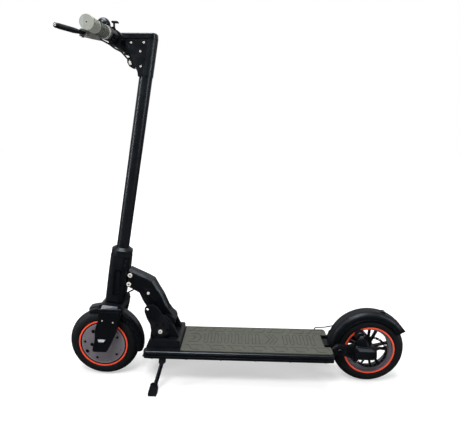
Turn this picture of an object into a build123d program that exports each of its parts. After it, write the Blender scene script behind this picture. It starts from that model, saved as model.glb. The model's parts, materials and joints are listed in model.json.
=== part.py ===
"""Electric kick scooter with a folding front, in millimetres.

The origin lies on the ground, midway between the two wheel axles, on the scooter's middle plane.
+X points ahead, +Y to the rider's left and +Z up. The front fork, stem and bar are drawn in a frame
of their own, whose "up" is the steering axis and whose "ahead" is square to it.
"""

from build123d import *
from math import acos, atan2, cos, degrees, hypot, radians, sin
import os

os.makedirs("parts", exist_ok=True)

# ---------------------------------------------------------------- driving sizes
wheelbase = 963
tyre_radius = 127
tyre_width = 54
bead_radius = 88
tyre_wall = 6
rake = 10
fork_offset = 17

running_fit = 0.05
body_gap = 0.4

axle_radius = 6
bearing_radius = 14
bearing_width = 8

deck_width = 190
deck_floor = 116
deck_top = 142
deck_wall = 3.5
deck_front_setback = 163
deck_rear_setback = 137
base_plate = 2.5
mat_thickness = 4
mat_border = 8

fold_back = 240
fold_height = 222
fold_pin_radius = 8
knuckle_radius = 26
knuckle_width = 60
arm_width = 44
arm_bevel = 7
cheek_thickness = 14
pedal_bolt_ahead = 23
pedal_bolt_drop = 28
pedal_bolt_radius = 6
pedal_thickness = 6.5

head_bottom = 172.5
head_top = 345
head_width = 64
steerer_radius = 14
stem_radius = 21.25
stem_wall = 3.25
stem_overlap = 8
collar_radius = 36

bar_radius = 15.9
bar_half = 270
bar_ahead = 95.2
bar_up = 1042.3
bar_flat = 62
bar_drop = 9.6
bar_advance = 2.4
grip_start = 145
grip_radius = 17.6
clamp_radius = 22.5
display_drop = 7
display_height = 16

motor_half = 24.6
stator_radius = 68
blade_inside = 40
blade_thickness = 10
cover_thickness = 12
guard_radius = 143.5
guard_half = 28
guard_wall = 3

rear_guard_radius = 141.5
swing_ahead = 113
swing_height = 144
swing_inside = 52
swing_thickness = 12
disc_radius = 60
disc_inside = 33
disc_thickness = 2.5

# ---------------------------------------------------------------- places that follow from them
front_x = wheelbase / 2
rear_x = -wheelbase / 2
axle_z = tyre_radius
rake_cos, rake_sin = cos(radians(rake)), sin(radians(rake))
ahead = Vector(rake_cos, 0, rake_sin)
upward = Vector(-rake_sin, 0, rake_cos)
steer_foot = Vector(front_x, 0, axle_z) - ahead * fork_offset
steer = Plane(origin=steer_foot, x_dir=ahead, z_dir=upward)
left = Vector(0, 1, 0)
pedal_bolt_back = fold_back - pedal_bolt_ahead
pedal_bolt_height = fold_height - pedal_bolt_drop
grip_length = bar_half - grip_start
stem_top = bar_up + stem_overlap
front_axis = Axis((front_x, 0, axle_z), (0, 1, 0))
rear_axis = Axis((rear_x, 0, axle_z), (0, 1, 0))


def side(y=0.0, x=0.0, z=0.0):
    """The upright lengthwise plane at y: its x runs ahead, its y up, and it faces the right side."""
    return Plane(origin=(x, y, z), x_dir=(1, 0, 0), z_dir=(0, -1, 0))


def front_side(y=0.0):
    """The side plane whose origin is on the ground under the front axle."""
    return side(y, front_x)


def steer_side(y=0.0):
    """The side plane of the steering frame: its x runs ahead of the steering axis, its y along it."""
    return Plane(origin=steer_foot + left * y, x_dir=ahead, z_dir=(0, -1, 0))


def radial(x, z=None):
    """A plane through a wheel axis: its x runs up from the axis and its y to the right side."""
    return Plane(origin=(x, 0, axle_z if z is None else z), x_dir=(0, 0, 1), z_dir=(1, 0, 0))


def steer_point(across, along):
    """A point of the steering frame as distance ahead of the front axle and height."""
    spot = steer_foot + ahead * across + upward * along
    return spot.X - front_x, spot.Z


def near_fold(forward, above):
    """A place given from the folding pin, as distance ahead of the front axle and height."""
    return forward - fold_back, above + fold_height


def near_pedal_bolt(forward, above):
    """A place given from the pedal's bolt, as distance ahead of the front axle and height."""
    return forward - pedal_bolt_back, above + pedal_bolt_height


def near_bar(forward, above):
    """A place in the steering frame given from the middle of the handlebar."""
    return bar_ahead + forward, bar_up + above


def bar_height(forward, above):
    """A place given level and upright from the middle of the handlebar, ahead of the front axle and up."""
    x, z = steer_point(bar_ahead, bar_up)
    return x + forward, z + above


def outline(plane, points, radius=0.0):
    """A flat shape with straight edges, its corners rounded."""
    with BuildSketch(plane) as flat:
        with BuildLine():
            Polyline(*points, close=True)
        make_face()
        if radius:
            fillet(flat.vertices(), radius)
    return flat.sketch


def ring_section(plane, low, high, near, far):
    """A rectangle in a plane through an axis, from radius low to high and from near to far along it."""
    with BuildSketch(plane) as flat:
        with Locations(((low + high) / 2, -(near + far) / 2)):
            Rectangle(high - low, far - near)
    return flat.sketch


def save(shape, name):
    shape.label = name
    export_step(shape, f"parts/{name}.step")


# ================================================================ wheels
tyre_centre = tyre_radius + 1 - tyre_width / 2


def tyre_section(plane):
    """A round tyre section, flat at the tread and open to the rim."""
    with BuildSketch(plane) as flat:
        with Locations((tyre_centre, 0)):
            Circle(tyre_width / 2)
        with Locations(((bead_radius + tyre_radius) / 2, 0)):
            Rectangle(tyre_radius - bead_radius, tyre_width, mode=Mode.INTERSECT)
        with Locations((tyre_centre, 0)):
            Circle(tyre_width / 2 - tyre_wall, mode=Mode.SUBTRACT)
    return flat.sketch


with BuildPart() as front_tyre:
    revolve(tyre_section(radial(front_x)), axis=front_axis)
save(front_tyre.part, "front_tyre")

with BuildPart() as rear_tyre:
    revolve(tyre_section(radial(rear_x)), axis=rear_axis)
save(rear_tyre.part, "rear_tyre")

ring_inner = bead_radius - 3.5
ring_outer = bead_radius + 1.5
ring_thickness = 1.6


def rim_rings(x, axis):
    """The coloured rings on both edges of a rim."""
    with BuildPart() as rings:
        for face in (motor_half, -motor_half - ring_thickness):
            section = ring_section(radial(x), ring_inner, ring_outer, face, face + ring_thickness)
            revolve(section, axis=axis)
    return rings.part


save(rim_rings(front_x, front_axis), "front_rings")
save(rim_rings(rear_x, rear_axis), "rear_rings")

shell_wall = 5
cover_outer = ring_inner - 0.3
cover_dome = 5
hub_boss = 22
bearing_inside = 18

with BuildPart() as motor_shell:
    with BuildSketch(radial(front_x)) as shell_section:
        with BuildLine():
            Polyline(
                (bead_radius, motor_half),
                (bead_radius, -motor_half),
                (cover_outer - shell_wall, -motor_half),
                (cover_outer - shell_wall, -motor_half + shell_wall),
                (bead_radius - 2 * shell_wall, -motor_half + shell_wall),
                (bead_radius - 2 * shell_wall, motor_half - shell_wall),
                (hub_boss, motor_half - shell_wall),
                (hub_boss, bearing_inside),
                (bearing_radius, bearing_inside),
                (bearing_radius, motor_half + cover_dome),
                (hub_boss + 6, motor_half + cover_dome),
                (cover_outer, motor_half),
                close=True,
            )
        make_face()
    revolve(axis=front_axis)
save(motor_shell.part, "motor_shell")

cover_screw_circle = 70
cover_screw_radius = 2.5
cover_screws = 6

with BuildPart() as motor_cover:
    with BuildSketch(radial(front_x)) as cover_section:
        with BuildLine():
            Polyline(
                (cover_outer - shell_wall, -motor_half + shell_wall),
                (hub_boss, -motor_half + shell_wall),
                (hub_boss, -bearing_inside),
                (bearing_radius, -bearing_inside),
                (bearing_radius, -motor_half - cover_dome),
                (hub_boss + 6, -motor_half - cover_dome),
                (cover_outer - shell_wall, -motor_half - 0.8),
                close=True,
            )
        make_face()
    revolve(axis=front_axis)
    with BuildSketch(side(motor_half + cover_dome + 1, front_x, axle_z)):
        with PolarLocations(cover_screw_circle, cover_screws, start_angle=20):
            Circle(cover_screw_radius + 0.6)
    extrude(amount=5.4, mode=Mode.SUBTRACT)
save(motor_cover.part, "motor_cover")


def bearing_pair(x, axis, inside):
    """Two ball bearings, drawn as plain rings, whose bores run on the axle."""
    with BuildPart() as pair:
        for near in (inside, -inside - bearing_width):
            section = ring_section(
                radial(x), axle_radius + running_fit, bearing_radius, near, near + bearing_width
            )
            revolve(section, axis=axis)
    return pair.part


save(bearing_pair(front_x, front_axis, bearing_inside), "front_bearings")

fork_outside = blade_inside + blade_thickness
nut_radius = 13
nut_height = 8

with BuildPart() as motor_stator:
    with BuildSketch(side(0, front_x, axle_z)):
        Circle(stator_radius)
        with PolarLocations(stator_radius, 18):
            Rectangle(24, 4, mode=Mode.SUBTRACT)
        Circle(axle_radius, mode=Mode.SUBTRACT)
    extrude(amount=15, both=True)
save(motor_stator.part, "motor_stator")

spacer_radius = axle_radius + 3.5
front_hub_half = motor_half + cover_dome
with BuildPart() as front_axle:
    with BuildSketch(side(0, front_x, axle_z)):
        Circle(axle_radius)
    extrude(amount=fork_outside + nut_height, both=True)
    for hand in (1, -1):
        with BuildSketch(side(hand * fork_outside, front_x, axle_z)):
            RegularPolygon(nut_radius - 1, 6)
        extrude(amount=-hand * nut_height)
        with BuildSketch(side(hand * (front_hub_half + body_gap), front_x, axle_z)):
            Circle(spacer_radius)
        extrude(amount=-hand * (blade_inside - front_hub_half - body_gap))
save(front_axle.part, "front_axle")

# ---------------------------------------------------------------- fork, covers and front mudguard
blade_shape = (
    (40, 150), (-38, 162), (-37, 125), (-30, 65), (-10, -2), (-5, -9), (38, -16), (42, -9), (38, 31),
    (42, 69), (36, 110),
)
crown_bottom = guard_radius + 3
crown_shape = (
    (43, crown_bottom), (-40, crown_bottom), (-40, 162), (-36, head_bottom - 4), (30, head_bottom - 4),
    (43, 158),
)
steerer_top = head_top + 14

with BuildPart() as fork:
    extrude(outline(steer_side(0), crown_shape, 3), amount=fork_outside, both=True)
    with BuildSketch(steer.offset(head_bottom - 5)):
        Circle(24)
    extrude(amount=4.5)
    with BuildSketch(steer.offset(head_bottom - 5)):
        Circle(steerer_radius)
    extrude(amount=steerer_top - head_bottom + 5)
    for y in (fork_outside, -blade_inside):
        extrude(outline(steer_side(y), blade_shape, 3), amount=blade_thickness)
    with BuildSketch(side(0, front_x, axle_z)):
        Circle(axle_radius)
    extrude(amount=fork_outside, both=True, mode=Mode.SUBTRACT)
save(fork.part, "fork")

cover_shape = (
    (41, 151), (-39, 165), (-37, 125), (-30, 65), (-10, -4), (-6, -10), (40, -18), (44, -10), (40, 31),
    (44, 69), (36.5, 110),
)
facet_shape = ((33.5, 36), (-3, 42), (5, 25), (26, 21))
cap_shape = ((26, 21), (5, 25), (-4, -4), (0, -9), (36, -15), (38, -9), (33, 21))
cover_round = 2.0
cover_screw_spots = ((22, 108.8), (-16.5, 109.5))


def leg_cover(hand):
    """A leg cover; hand is 1 on the rider's left and -1 on the right."""
    face = hand * (fork_outside + cover_thickness)
    inward = hand * cover_thickness
    with BuildPart() as cover:
        extrude(outline(steer_side(face), cover_shape, 4), amount=inward)
        outer = cover.faces().filter_by(Axis.Y).sort_by(Axis.Y)[-1 if hand > 0 else 0]
        chamfer(outer.outer_wire().edges(), cover_round)
        extrude(outline(steer_side(face), facet_shape), amount=inward * 0.45, taper=-18, mode=Mode.SUBTRACT)
        with BuildSketch(side(face, front_x, axle_z)):
            Circle(nut_radius + 1)
        with BuildSketch(side(hand * fork_outside, front_x, axle_z)):
            Circle(nut_radius + 1)
        extrude(amount=-hand * (nut_height + 1), mode=Mode.SUBTRACT)
        with BuildSketch(steer_side(face)):
            with Locations(*cover_screw_spots):
                Circle(3.6)
        extrude(amount=hand * 2.5, mode=Mode.SUBTRACT)
    return cover.part


with BuildPart() as fork_covers:
    add(leg_cover(1))
    add(leg_cover(-1))
save(fork_covers.part, "fork_covers")

guard_start = 71
guard_sweep = 121
guard_shoulder = 17


def guard_section(plane, radius, half, skirt, wall, shoulder):
    """A mudguard's U-shaped section with rounded shoulders."""
    inner = shoulder - wall
    with BuildSketch(plane) as flat:
        with Locations((radius - skirt / 2, 0)):
            Rectangle(skirt, 2 * half)
        fillet(flat.vertices().group_by(Axis(plane.origin, plane.x_dir))[-1], shoulder)
        with Locations((radius - wall - inner - skirt / 2, 0)):
            Rectangle(skirt, 2 * (half - wall), mode=Mode.SUBTRACT)
        with Locations((radius - wall - skirt / 2, 0)):
            Rectangle(skirt, 2 * (half - wall - inner), mode=Mode.SUBTRACT)
        for hand in (1, -1):
            with Locations((radius - wall - inner, hand * (half - wall - inner))):
                Circle(inner, mode=Mode.SUBTRACT)
    return flat.sketch


def turned(x, z, angle):
    """A plane through a wheel axis whose x points at an angle above ahead, and its y to the left."""
    return Plane(
        origin=(x, 0, z),
        x_dir=(cos(radians(angle)), 0, sin(radians(angle))),
        z_dir=(-sin(radians(angle)), 0, cos(radians(angle))),
    )


guard_skirt = 20
with BuildPart() as front_mudguard:
    section = guard_section(
        turned(front_x, axle_z, guard_start), guard_radius, guard_half, guard_skirt, guard_wall, guard_shoulder
    )
    revolve(section, axis=Axis((front_x, 0, axle_z), (0, -1, 0)), revolution_arc=guard_sweep)
    with BuildSketch(steer.offset(guard_radius - 6)):
        with Locations((0, 0)):
            Rectangle(36, 24)
    extrude(amount=crown_bottom - guard_radius + 6)
save(front_mudguard.part, "front_mudguard")

# ================================================================ head tube and neck arm
head_bore = 20
headset_radius = 27
headset_height = 10
head_depths = ((head_bottom, 0, 66), (head_top - 70, -1, 71), (head_top, 0, 69))
lug_low, lug_high = head_top - 109, head_top - 63
lug_back = 64
lug_half = 12
recess_shape = tuple(
    (across, head_top - below)
    for across, below in ((8, 53), (-15, 49), (-25, 133), (-19, 145), (1, 149), (7, 142))
)
strip_shape = tuple((across, head_top - below) for across, below in ((2, 57), (-9, 55), (-15, 120), (-3, 122)))
recess_depth = 5

with BuildPart() as head_blank:
    sections = []
    for height, shift, depth in head_depths:
        with BuildSketch(steer.offset(height)) as slice_:
            with Locations((shift, 0)):
                RectangleRounded(depth, head_width, 20)
        sections.append(slice_.sketch)
    loft(sections, ruled=True)

with BuildPart() as head_tube:
    add(head_blank.part)
    extrude(
        outline(steer_side(0), ((-30, lug_low), (-lug_back, lug_low), (-lug_back, lug_high), (-30, lug_high))),
        amount=lug_half, both=True,
    )
    for y, way in ((head_width / 2, 1), (-head_width / 2, -1)):
        extrude(outline(steer_side(y), recess_shape, 4), amount=way * recess_depth, mode=Mode.SUBTRACT)
        extrude(outline(steer_side(y - way * 2), strip_shape, 3), amount=way * (recess_depth - 2))
    with BuildSketch(steer.offset(head_bottom)):
        Circle(head_bore)
    extrude(amount=head_top - head_bottom, mode=Mode.SUBTRACT)
    for height in (head_bottom, head_top - headset_height):
        with BuildSketch(steer.offset(height)):
            Circle(headset_radius)
        extrude(amount=headset_height, mode=Mode.SUBTRACT)
save(head_tube.part, "head_tube")

with BuildPart() as headset_bearings:
    for height in (head_bottom, head_top - headset_height):
        with BuildSketch(steer.offset(height)):
            Circle(headset_radius)
            Circle(steerer_radius + running_fit, mode=Mode.SUBTRACT)
        extrude(amount=headset_height)
save(headset_bearings.part, "headset_bearings")

arm_root = 38
arm_top = (
    steer_point(-arm_root, head_top - 43.5), steer_point(-101.3, head_top - 60),
    steer_point(-127.2, head_top - 69), near_fold(30.7, 116), near_fold(18, 94), near_fold(-5, 38.4),
    near_fold(-knuckle_radius, 8), near_fold(-knuckle_radius, 0),
)
arm_under = (
    near_fold(knuckle_radius, 0), near_fold(54, 28), near_fold(78, 57.6), steer_point(-103, head_top - 151.5),
    steer_point(-85.3, head_top - 124), steer_point(-54.3, head_top - 113),
    steer_point(-arm_root, head_top - 109),
)
arm_panel = (
    steer_point(-50, head_top - 64), steer_point(-98, head_top - 76), steer_point(-119, head_top - 86),
    near_fold(22, 100), near_fold(6, 50), near_fold(24, 34), near_fold(66, 76), near_fold(86, 104),
    steer_point(-72, head_top - 106), steer_point(-50, head_top - 98),
)
neck_bolt_spots = (steer_point(-44, head_top - 66), steer_point(-44, head_top - 100))
lower_bolt_spot = near_fold(69, 103)
panel_depth = 1.5

with BuildPart() as neck_arm:
    extrude(outline(front_side(0), arm_top + arm_under), amount=arm_width / 2, both=True)
    middles = [((a[0] + b[0]) / 2 + front_x, (a[1] + b[1]) / 2) for a, b in zip(arm_top, arm_top[1:-2])]
    ridges = [
        edge for edge in neck_arm.edges().filter_by(Axis.Y, reverse=True)
        if any(hypot(edge.center().X - x, edge.center().Z - z) < 0.5 for x, z in middles)
    ]
    chamfer(ridges, arm_bevel)
    with BuildSketch(side(0, front_x - fold_back, fold_height)):
        Circle(knuckle_radius)
    extrude(amount=knuckle_width / 2, both=True)
    with BuildSketch(side(0, front_x - fold_back, fold_height)):
        Circle(fold_pin_radius + running_fit)
    extrude(amount=knuckle_width / 2, both=True, mode=Mode.SUBTRACT)
    lug_slot = ((-30, lug_low - 12), (-lug_back, lug_low - 12), (-lug_back, lug_high), (-30, lug_high))
    extrude(outline(steer_side(0), lug_slot), amount=lug_half, both=True, mode=Mode.SUBTRACT)
    for y, way in ((arm_width / 2, 1), (-arm_width / 2, -1)):
        extrude(outline(front_side(y), arm_panel, 4), amount=way * panel_depth, mode=Mode.SUBTRACT)
save(neck_arm.part, "neck_arm")

bolt_head = 8.5
bolt_rise = 3
with BuildPart() as neck_bolts:
    for y, way in ((arm_width / 2 + bolt_rise, 1), (-arm_width / 2 - bolt_rise, -1)):
        with BuildSketch(front_side(y)):
            with Locations(*neck_bolt_spots):
                Circle(bolt_head)
                RegularPolygon(4, 6, mode=Mode.SUBTRACT)
        extrude(amount=way * bolt_rise)
    for y, way in ((arm_width / 2 + 1, 1), (-arm_width / 2 - 1, -1)):
        with BuildSketch(front_side(y)):
            with Locations(lower_bolt_spot):
                Circle(6)
                RegularPolygon(3, 6, mode=Mode.SUBTRACT)
        extrude(amount=way * (1 + panel_depth))
save(neck_bolts.part, "neck_bolts")

# ---------------------------------------------------------------- motor cable under the head tube
gland_half = 9
gland_top = head_bottom + 28
gland_shape = (
    (-28, gland_top - 26), (-28, gland_top), (-43, gland_top), (-48, gland_top - 6), (-48, gland_top - 18),
    (-41, gland_top - 26),
)
with BuildPart() as cable_gland:
    extrude(outline(steer_side(0), gland_shape, 2), amount=gland_half, both=True)
    add(head_blank.part, mode=Mode.SUBTRACT)

cable_radius = 2.6
cable_spots = (
    steer_point(-64, head_top - 114), steer_point(-64, head_top - 122), steer_point(-43, gland_top + 5),
    steer_point(-40, gland_top),
)
cable_path = [Vector(front_x + x, 0, z) for x, z in cable_spots]
with BuildPart() as front_motor_cable:
    with BuildLine() as cable_line:
        FilletPolyline(*cable_path, radius=4)
    with BuildSketch(Plane(origin=cable_line.line @ 0, z_dir=cable_line.line % 0)):
        Circle(cable_radius)
    sweep()
    add(neck_arm.part, mode=Mode.SUBTRACT)
    add(cable_gland.part)
save(front_motor_cable.part, "front_motor_cable")

# ================================================================ fold bracket, pedal and pins
bracket_half = 70
bracket_top = 171
bracket_rear = 289
bracket_notch = 175
bracket_shape = (
    (-180, bracket_top), (-153, 107), (-bracket_notch, 107), (-bracket_notch, deck_top),
    (-bracket_rear, deck_top), (-bracket_rear, bracket_top - 4), (-bracket_rear + 4, bracket_top),
)
cheek_inside = knuckle_width / 2 + body_gap
cheek_outside = cheek_inside + cheek_thickness
cheek_shape = (
    (-178, bracket_top - 6), near_fold(56, -15), near_fold(43, 10), near_fold(25, 24), near_fold(5, 28),
    near_fold(-12, 10), near_fold(-26, -17), (-283, bracket_top - 6),
)

with BuildPart() as fold_bracket:
    extrude(outline(front_side(0), bracket_shape), amount=bracket_half, both=True)
    for y in (cheek_outside, -cheek_inside):
        extrude(outline(front_side(y), cheek_shape, 2), amount=cheek_thickness)
    with BuildSketch(side(0, front_x - fold_back, fold_height)):
        Circle(fold_pin_radius)
    extrude(amount=cheek_outside, both=True, mode=Mode.SUBTRACT)
    with BuildSketch(side(0, front_x - pedal_bolt_back, pedal_bolt_height)):
        Circle(pedal_bolt_radius)
    extrude(amount=cheek_outside, both=True, mode=Mode.SUBTRACT)
    for y in (cheek_outside + 8, -cheek_outside):
        with BuildSketch(side(y, front_x - pedal_bolt_back, pedal_bolt_height)):
            Circle(38)
        extrude(amount=8, mode=Mode.SUBTRACT)
save(fold_bracket.part, "fold_bracket")

with BuildPart() as fold_axle:
    with BuildSketch(side(0, front_x - fold_back, fold_height)):
        Circle(fold_pin_radius)
    extrude(amount=cheek_outside, both=True)
save(fold_axle.part, "fold_axle")

pedal_inside = cheek_outside + body_gap
pedal_outside = pedal_inside + pedal_thickness
with BuildPart() as pedal_bolt:
    with BuildSketch(side(0, front_x - pedal_bolt_back, pedal_bolt_height)):
        Circle(pedal_bolt_radius)
    extrude(amount=pedal_outside + 0.5, both=True)
    for y, way in ((pedal_outside + 3.3, 1), (-pedal_outside - 3.3, -1)):
        with BuildSketch(side(y, front_x - pedal_bolt_back, pedal_bolt_height)):
            Circle(8)
            RegularPolygon(4, 6, mode=Mode.SUBTRACT)
        extrude(amount=way * 2.8)
save(pedal_bolt.part, "pedal_bolt")

pedal_shape = tuple(
    near_pedal_bolt(*spot)
    for spot in (
        (54, 74), (53, 89), (45, 97), (23.5, 100), (9, 92), (-11, 60), (-27, 40), (-33, 18), (-29, -4),
        (-15, -22), (5, -28), (23, -22), (32, -4), (36, 28), (46, 47),
    )
)
pedal_pockets = ((11.5, 25, 4), (16, -16, 4), (-14, -18, 5), (-25, 6, 5), (-11, 28, 4))
pedal_eye = near_pedal_bolt(44, 83)
pedal_rib_spacing = 9
pedal_ribs = 5
lock_bar = near_pedal_bolt(32.7, 49)
lock_bar_radius = 5

with BuildPart() as fold_pedal:
    for y, way in ((pedal_outside, 1), (-pedal_outside, -1)):
        extrude(outline(front_side(y), pedal_shape, 5), amount=way * pedal_thickness)
        with BuildSketch(front_side(y)):
            for forward, above, radius in pedal_pockets:
                with Locations(near_pedal_bolt(forward, above)):
                    Circle(radius)
            with Locations(pedal_eye):
                Circle(5)
            with Locations((-pedal_bolt_back, pedal_bolt_height)):
                Circle(pedal_bolt_radius + running_fit)
        extrude(amount=way * pedal_thickness, mode=Mode.SUBTRACT)
        with BuildSketch(front_side(y)):
            for n in range(pedal_ribs):
                with Locations(Location(near_pedal_bolt(21 + n * 1.5, 82 - n * pedal_rib_spacing), 30)):
                    SlotOverall(38 - 2 * n, 2.4)
        extrude(amount=way * 1.5, mode=Mode.SUBTRACT)
    with BuildSketch(front_side(0)):
        with Locations(lock_bar):
            Circle(lock_bar_radius)
    extrude(amount=pedal_inside + 1, both=True)
save(fold_pedal.part, "fold_pedal")

# ================================================================ deck
deck_front = front_x - deck_front_setback
deck_rear = rear_x + deck_rear_setback
deck_half = deck_width / 2
notch_half = 43
notch_front = rear_x + 160
cavity_front = deck_front - 28
cavity_rear = notch_front + 10
cavity_half = deck_half - 9
lug_inside = swing_inside - body_gap - 10
swing_x = rear_x + swing_ahead
swing_boss = 19
rail_depth = 2.5
rail_low, rail_high = 126, 133


def plate(z, x_low, x_high, half, radius=0.0):
    """A flat rectangle at height z between two lengthwise places."""
    with BuildSketch(Plane.XY.offset(z)) as flat:
        with Locations(((x_low + x_high) / 2, 0)):
            if radius:
                RectangleRounded(x_high - x_low, 2 * half, radius)
            else:
                Rectangle(x_high - x_low, 2 * half)
    return flat.sketch


with BuildPart() as deck_frame:
    extrude(plate(deck_floor, deck_rear, deck_front, deck_half, 10), amount=deck_top - deck_floor)
    chamfer(deck_frame.faces().sort_by(Axis.Z)[-1].outer_wire().edges(), 2)
    extrude(
        plate(deck_floor, cavity_rear, cavity_front, cavity_half),
        amount=deck_top - deck_floor - deck_wall, mode=Mode.SUBTRACT,
    )
    extrude(
        plate(deck_floor, deck_rear - 20, notch_front, notch_half),
        amount=deck_top - deck_floor, mode=Mode.SUBTRACT,
    )
    extrude(
        plate(deck_floor, front_x - bracket_notch, deck_front + 5, bracket_half),
        amount=deck_top - deck_floor, mode=Mode.SUBTRACT,
    )
    for y in (deck_half + 1, -deck_half + rail_depth):
        with BuildSketch(side(y)):
            with Locations(((deck_front + deck_rear) / 2, (rail_low + rail_high) / 2)):
                Rectangle(deck_front - deck_rear - 40, rail_high - rail_low)
        extrude(amount=rail_depth + 1, mode=Mode.SUBTRACT)
    rear_lug = (
        (notch_front, deck_floor), (notch_front, deck_top - 2), (deck_rear, deck_top),
        (swing_x + 8, swing_height + 16), (swing_x - 8, swing_height + 16), (swing_x - 16, swing_height),
        (swing_x - 8, swing_height - 16), (deck_rear, deck_floor + 2),
    )
    for y in (lug_inside + 10, -lug_inside):
        extrude(outline(side(y), rear_lug), amount=10)
        with BuildSketch(side(y, swing_x, swing_height)):
            Circle(swing_boss - 10)
        extrude(amount=10, mode=Mode.SUBTRACT)

base_half = deck_half - 3
base_front = front_x - bracket_notch - 1
under = deck_floor - base_plate
with BuildPart() as deck_base_plate:
    extrude(plate(under, deck_rear + 14, base_front, base_half, 8), amount=base_plate)
    extrude(plate(under, deck_rear - 20, notch_front, notch_half), amount=base_plate, mode=Mode.SUBTRACT)
save(deck_base_plate.part, "deck_base_plate")

deck_screw_count = 6
deck_screw_end = 30
with BuildPart() as deck_screws:
    with BuildSketch(Plane.XY.offset(deck_floor - base_plate - 2)):
        with Locations(((deck_front + deck_rear) / 2, 0)):
            pitch = (deck_front - deck_rear - 2 * deck_screw_end) / (deck_screw_count - 1)
            with GridLocations(pitch, 2 * (deck_half - 7), deck_screw_count, 2):
                Circle(4)
    extrude(amount=2)
save(deck_screws.part, "deck_screws")

mat_front = front_x - bracket_rear - 3
mat_rear = deck_rear + 4
mat_half = deck_half - mat_border
with BuildPart() as deck_mat:
    extrude(plate(deck_top, mat_rear, mat_front, mat_half, 9), amount=mat_thickness)
    extrude(
        plate(deck_top, mat_rear - 20, notch_front + 3, notch_half), amount=mat_thickness, mode=Mode.SUBTRACT
    )
    chamfer(deck_mat.faces().sort_by(Axis.Z)[-1].outer_wire().edges(), 1)
save(deck_mat.part, "deck_mat")

battery_half, battery_height = 78, 19.5
controller_length, controller_half, controller_height = 120, 45, 18
pack_room_front, pack_gap, pack_room_rear = 20, 20, 32
controller_rear = cavity_rear + pack_room_rear
controller_front = controller_rear + controller_length
battery_rear = controller_front + pack_gap
battery_front = cavity_front - pack_room_front
with BuildPart() as battery_pack:
    extrude(plate(deck_floor, battery_rear, battery_front, battery_half, 5), amount=battery_height)
save(battery_pack.part, "battery_pack")

with BuildPart() as motor_controller:
    extrude(plate(deck_floor, controller_rear, controller_front, controller_half, 4), amount=controller_height)
save(motor_controller.part, "motor_controller")

# ---------------------------------------------------------------- charging socket and its cap
socket_x = deck_front - 60
socket_z = 125.5
socket_radius = 8
socket_depth = 10
cap_radius = 9.5
cap_thickness = 2
cap_pin_y = deck_half + 2.4
cap_pin_z = 137.2
cap_pin_radius = 1.0
cap_knuckle = 2.0
cap_width = 3.8

with BuildPart() as deck_bore:
    with BuildSketch(side(-deck_half, socket_x, socket_z)):
        Circle(socket_radius)
    extrude(amount=-socket_depth)

with BuildPart() as charge_socket:
    with BuildSketch(side(-deck_half + 1.5, socket_x, socket_z)):
        Circle(socket_radius)
        Circle(2.75, mode=Mode.SUBTRACT)
    extrude(amount=-6)
    with BuildSketch(side(-deck_half + 7.5, socket_x, socket_z)):
        Circle(socket_radius)
    extrude(amount=-2.5)

with BuildPart() as cap_hinge:
    for x in (socket_x + cap_width + 1.8, socket_x - cap_width - 1.8):
        with BuildSketch(Plane.YZ.offset(x)):
            with Locations((-deck_half - 2.2, cap_pin_z)):
                Rectangle(4.4, 4.4)
        extrude(amount=1.4, both=True)
    with BuildSketch(Plane.YZ.offset(socket_x)):
        with Locations((-cap_pin_y, cap_pin_z)):
            Circle(cap_pin_radius)
    extrude(amount=cap_width + 2, both=True)

with BuildPart() as socket_set:
    add(charge_socket.part)
    add(cap_hinge.part)
save(socket_set.part, "charge_socket")

with BuildPart() as charge_cap:
    with BuildSketch(side(-deck_half - 0.4, socket_x, socket_z)):
        Circle(cap_radius)
    extrude(amount=cap_thickness)
    with BuildSketch(Plane.YZ.offset(socket_x)):
        with Locations((-cap_pin_y, cap_pin_z)):
            Circle(cap_knuckle)
        with Locations((-deck_half - 0.4 - cap_thickness / 2, (cap_pin_z + socket_z) / 2 + 3)):
            Rectangle(cap_thickness, cap_pin_z - socket_z - 6)
        with Locations((-cap_pin_y, cap_pin_z)):
            Circle(cap_pin_radius + running_fit, mode=Mode.SUBTRACT)
    extrude(amount=cap_width, both=True)
save(charge_cap.part, "charge_cap")

with BuildPart() as bored_deck:
    add(deck_frame.part)
    add(deck_bore.part, mode=Mode.SUBTRACT)
save(bored_deck.part, "deck_frame")

# ================================================================ rear mudguard and lamp
rear_guard_x = rear_x + 2
rear_guard_z = axle_z + 4
rear_guard_start = -3
rear_guard_sweep = 151
rear_guard_half = 31
rear_guard_skirt = 30
rear_guard_shoulder = 19
rear_guard_axis = Axis((rear_guard_x, 0, rear_guard_z), (0, -1, 0))
hook_shape = tuple(
    (across, rear_guard_radius + rise)
    for across, rise in ((-8, -3), (-18, -2.5), (-52.5, -4), (-56.5, -13), (-50, -10.8), (-38, -6.6))
)
hook_half = 9
lamp_start, lamp_sweep = 134, 10
lamp_half, lamp_depth = 10, 1.2
lip_start, lip_sweep = 145, 3
lip_depth = 1.5

with BuildPart() as rear_mudguard:
    section = guard_section(
        turned(rear_guard_x, rear_guard_z, rear_guard_start), rear_guard_radius, rear_guard_half,
        rear_guard_skirt, guard_wall, rear_guard_shoulder,
    )
    revolve(section, axis=rear_guard_axis, revolution_arc=rear_guard_sweep)
    lip = guard_section(
        turned(rear_guard_x, rear_guard_z, lip_start), rear_guard_radius + lip_depth, rear_guard_half,
        rear_guard_skirt, guard_wall + lip_depth, rear_guard_shoulder,
    )
    revolve(lip, axis=rear_guard_axis, revolution_arc=lip_sweep)
    extrude(outline(side(0, rear_guard_x, rear_guard_z), hook_shape, 0.4), amount=hook_half, both=True)
    guard_front = rear_guard_x + rear_guard_radius
    extrude(plate(deck_floor + 6, guard_front - 2, notch_front, 22), amount=20)
save(rear_mudguard.part, "rear_mudguard")

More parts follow.
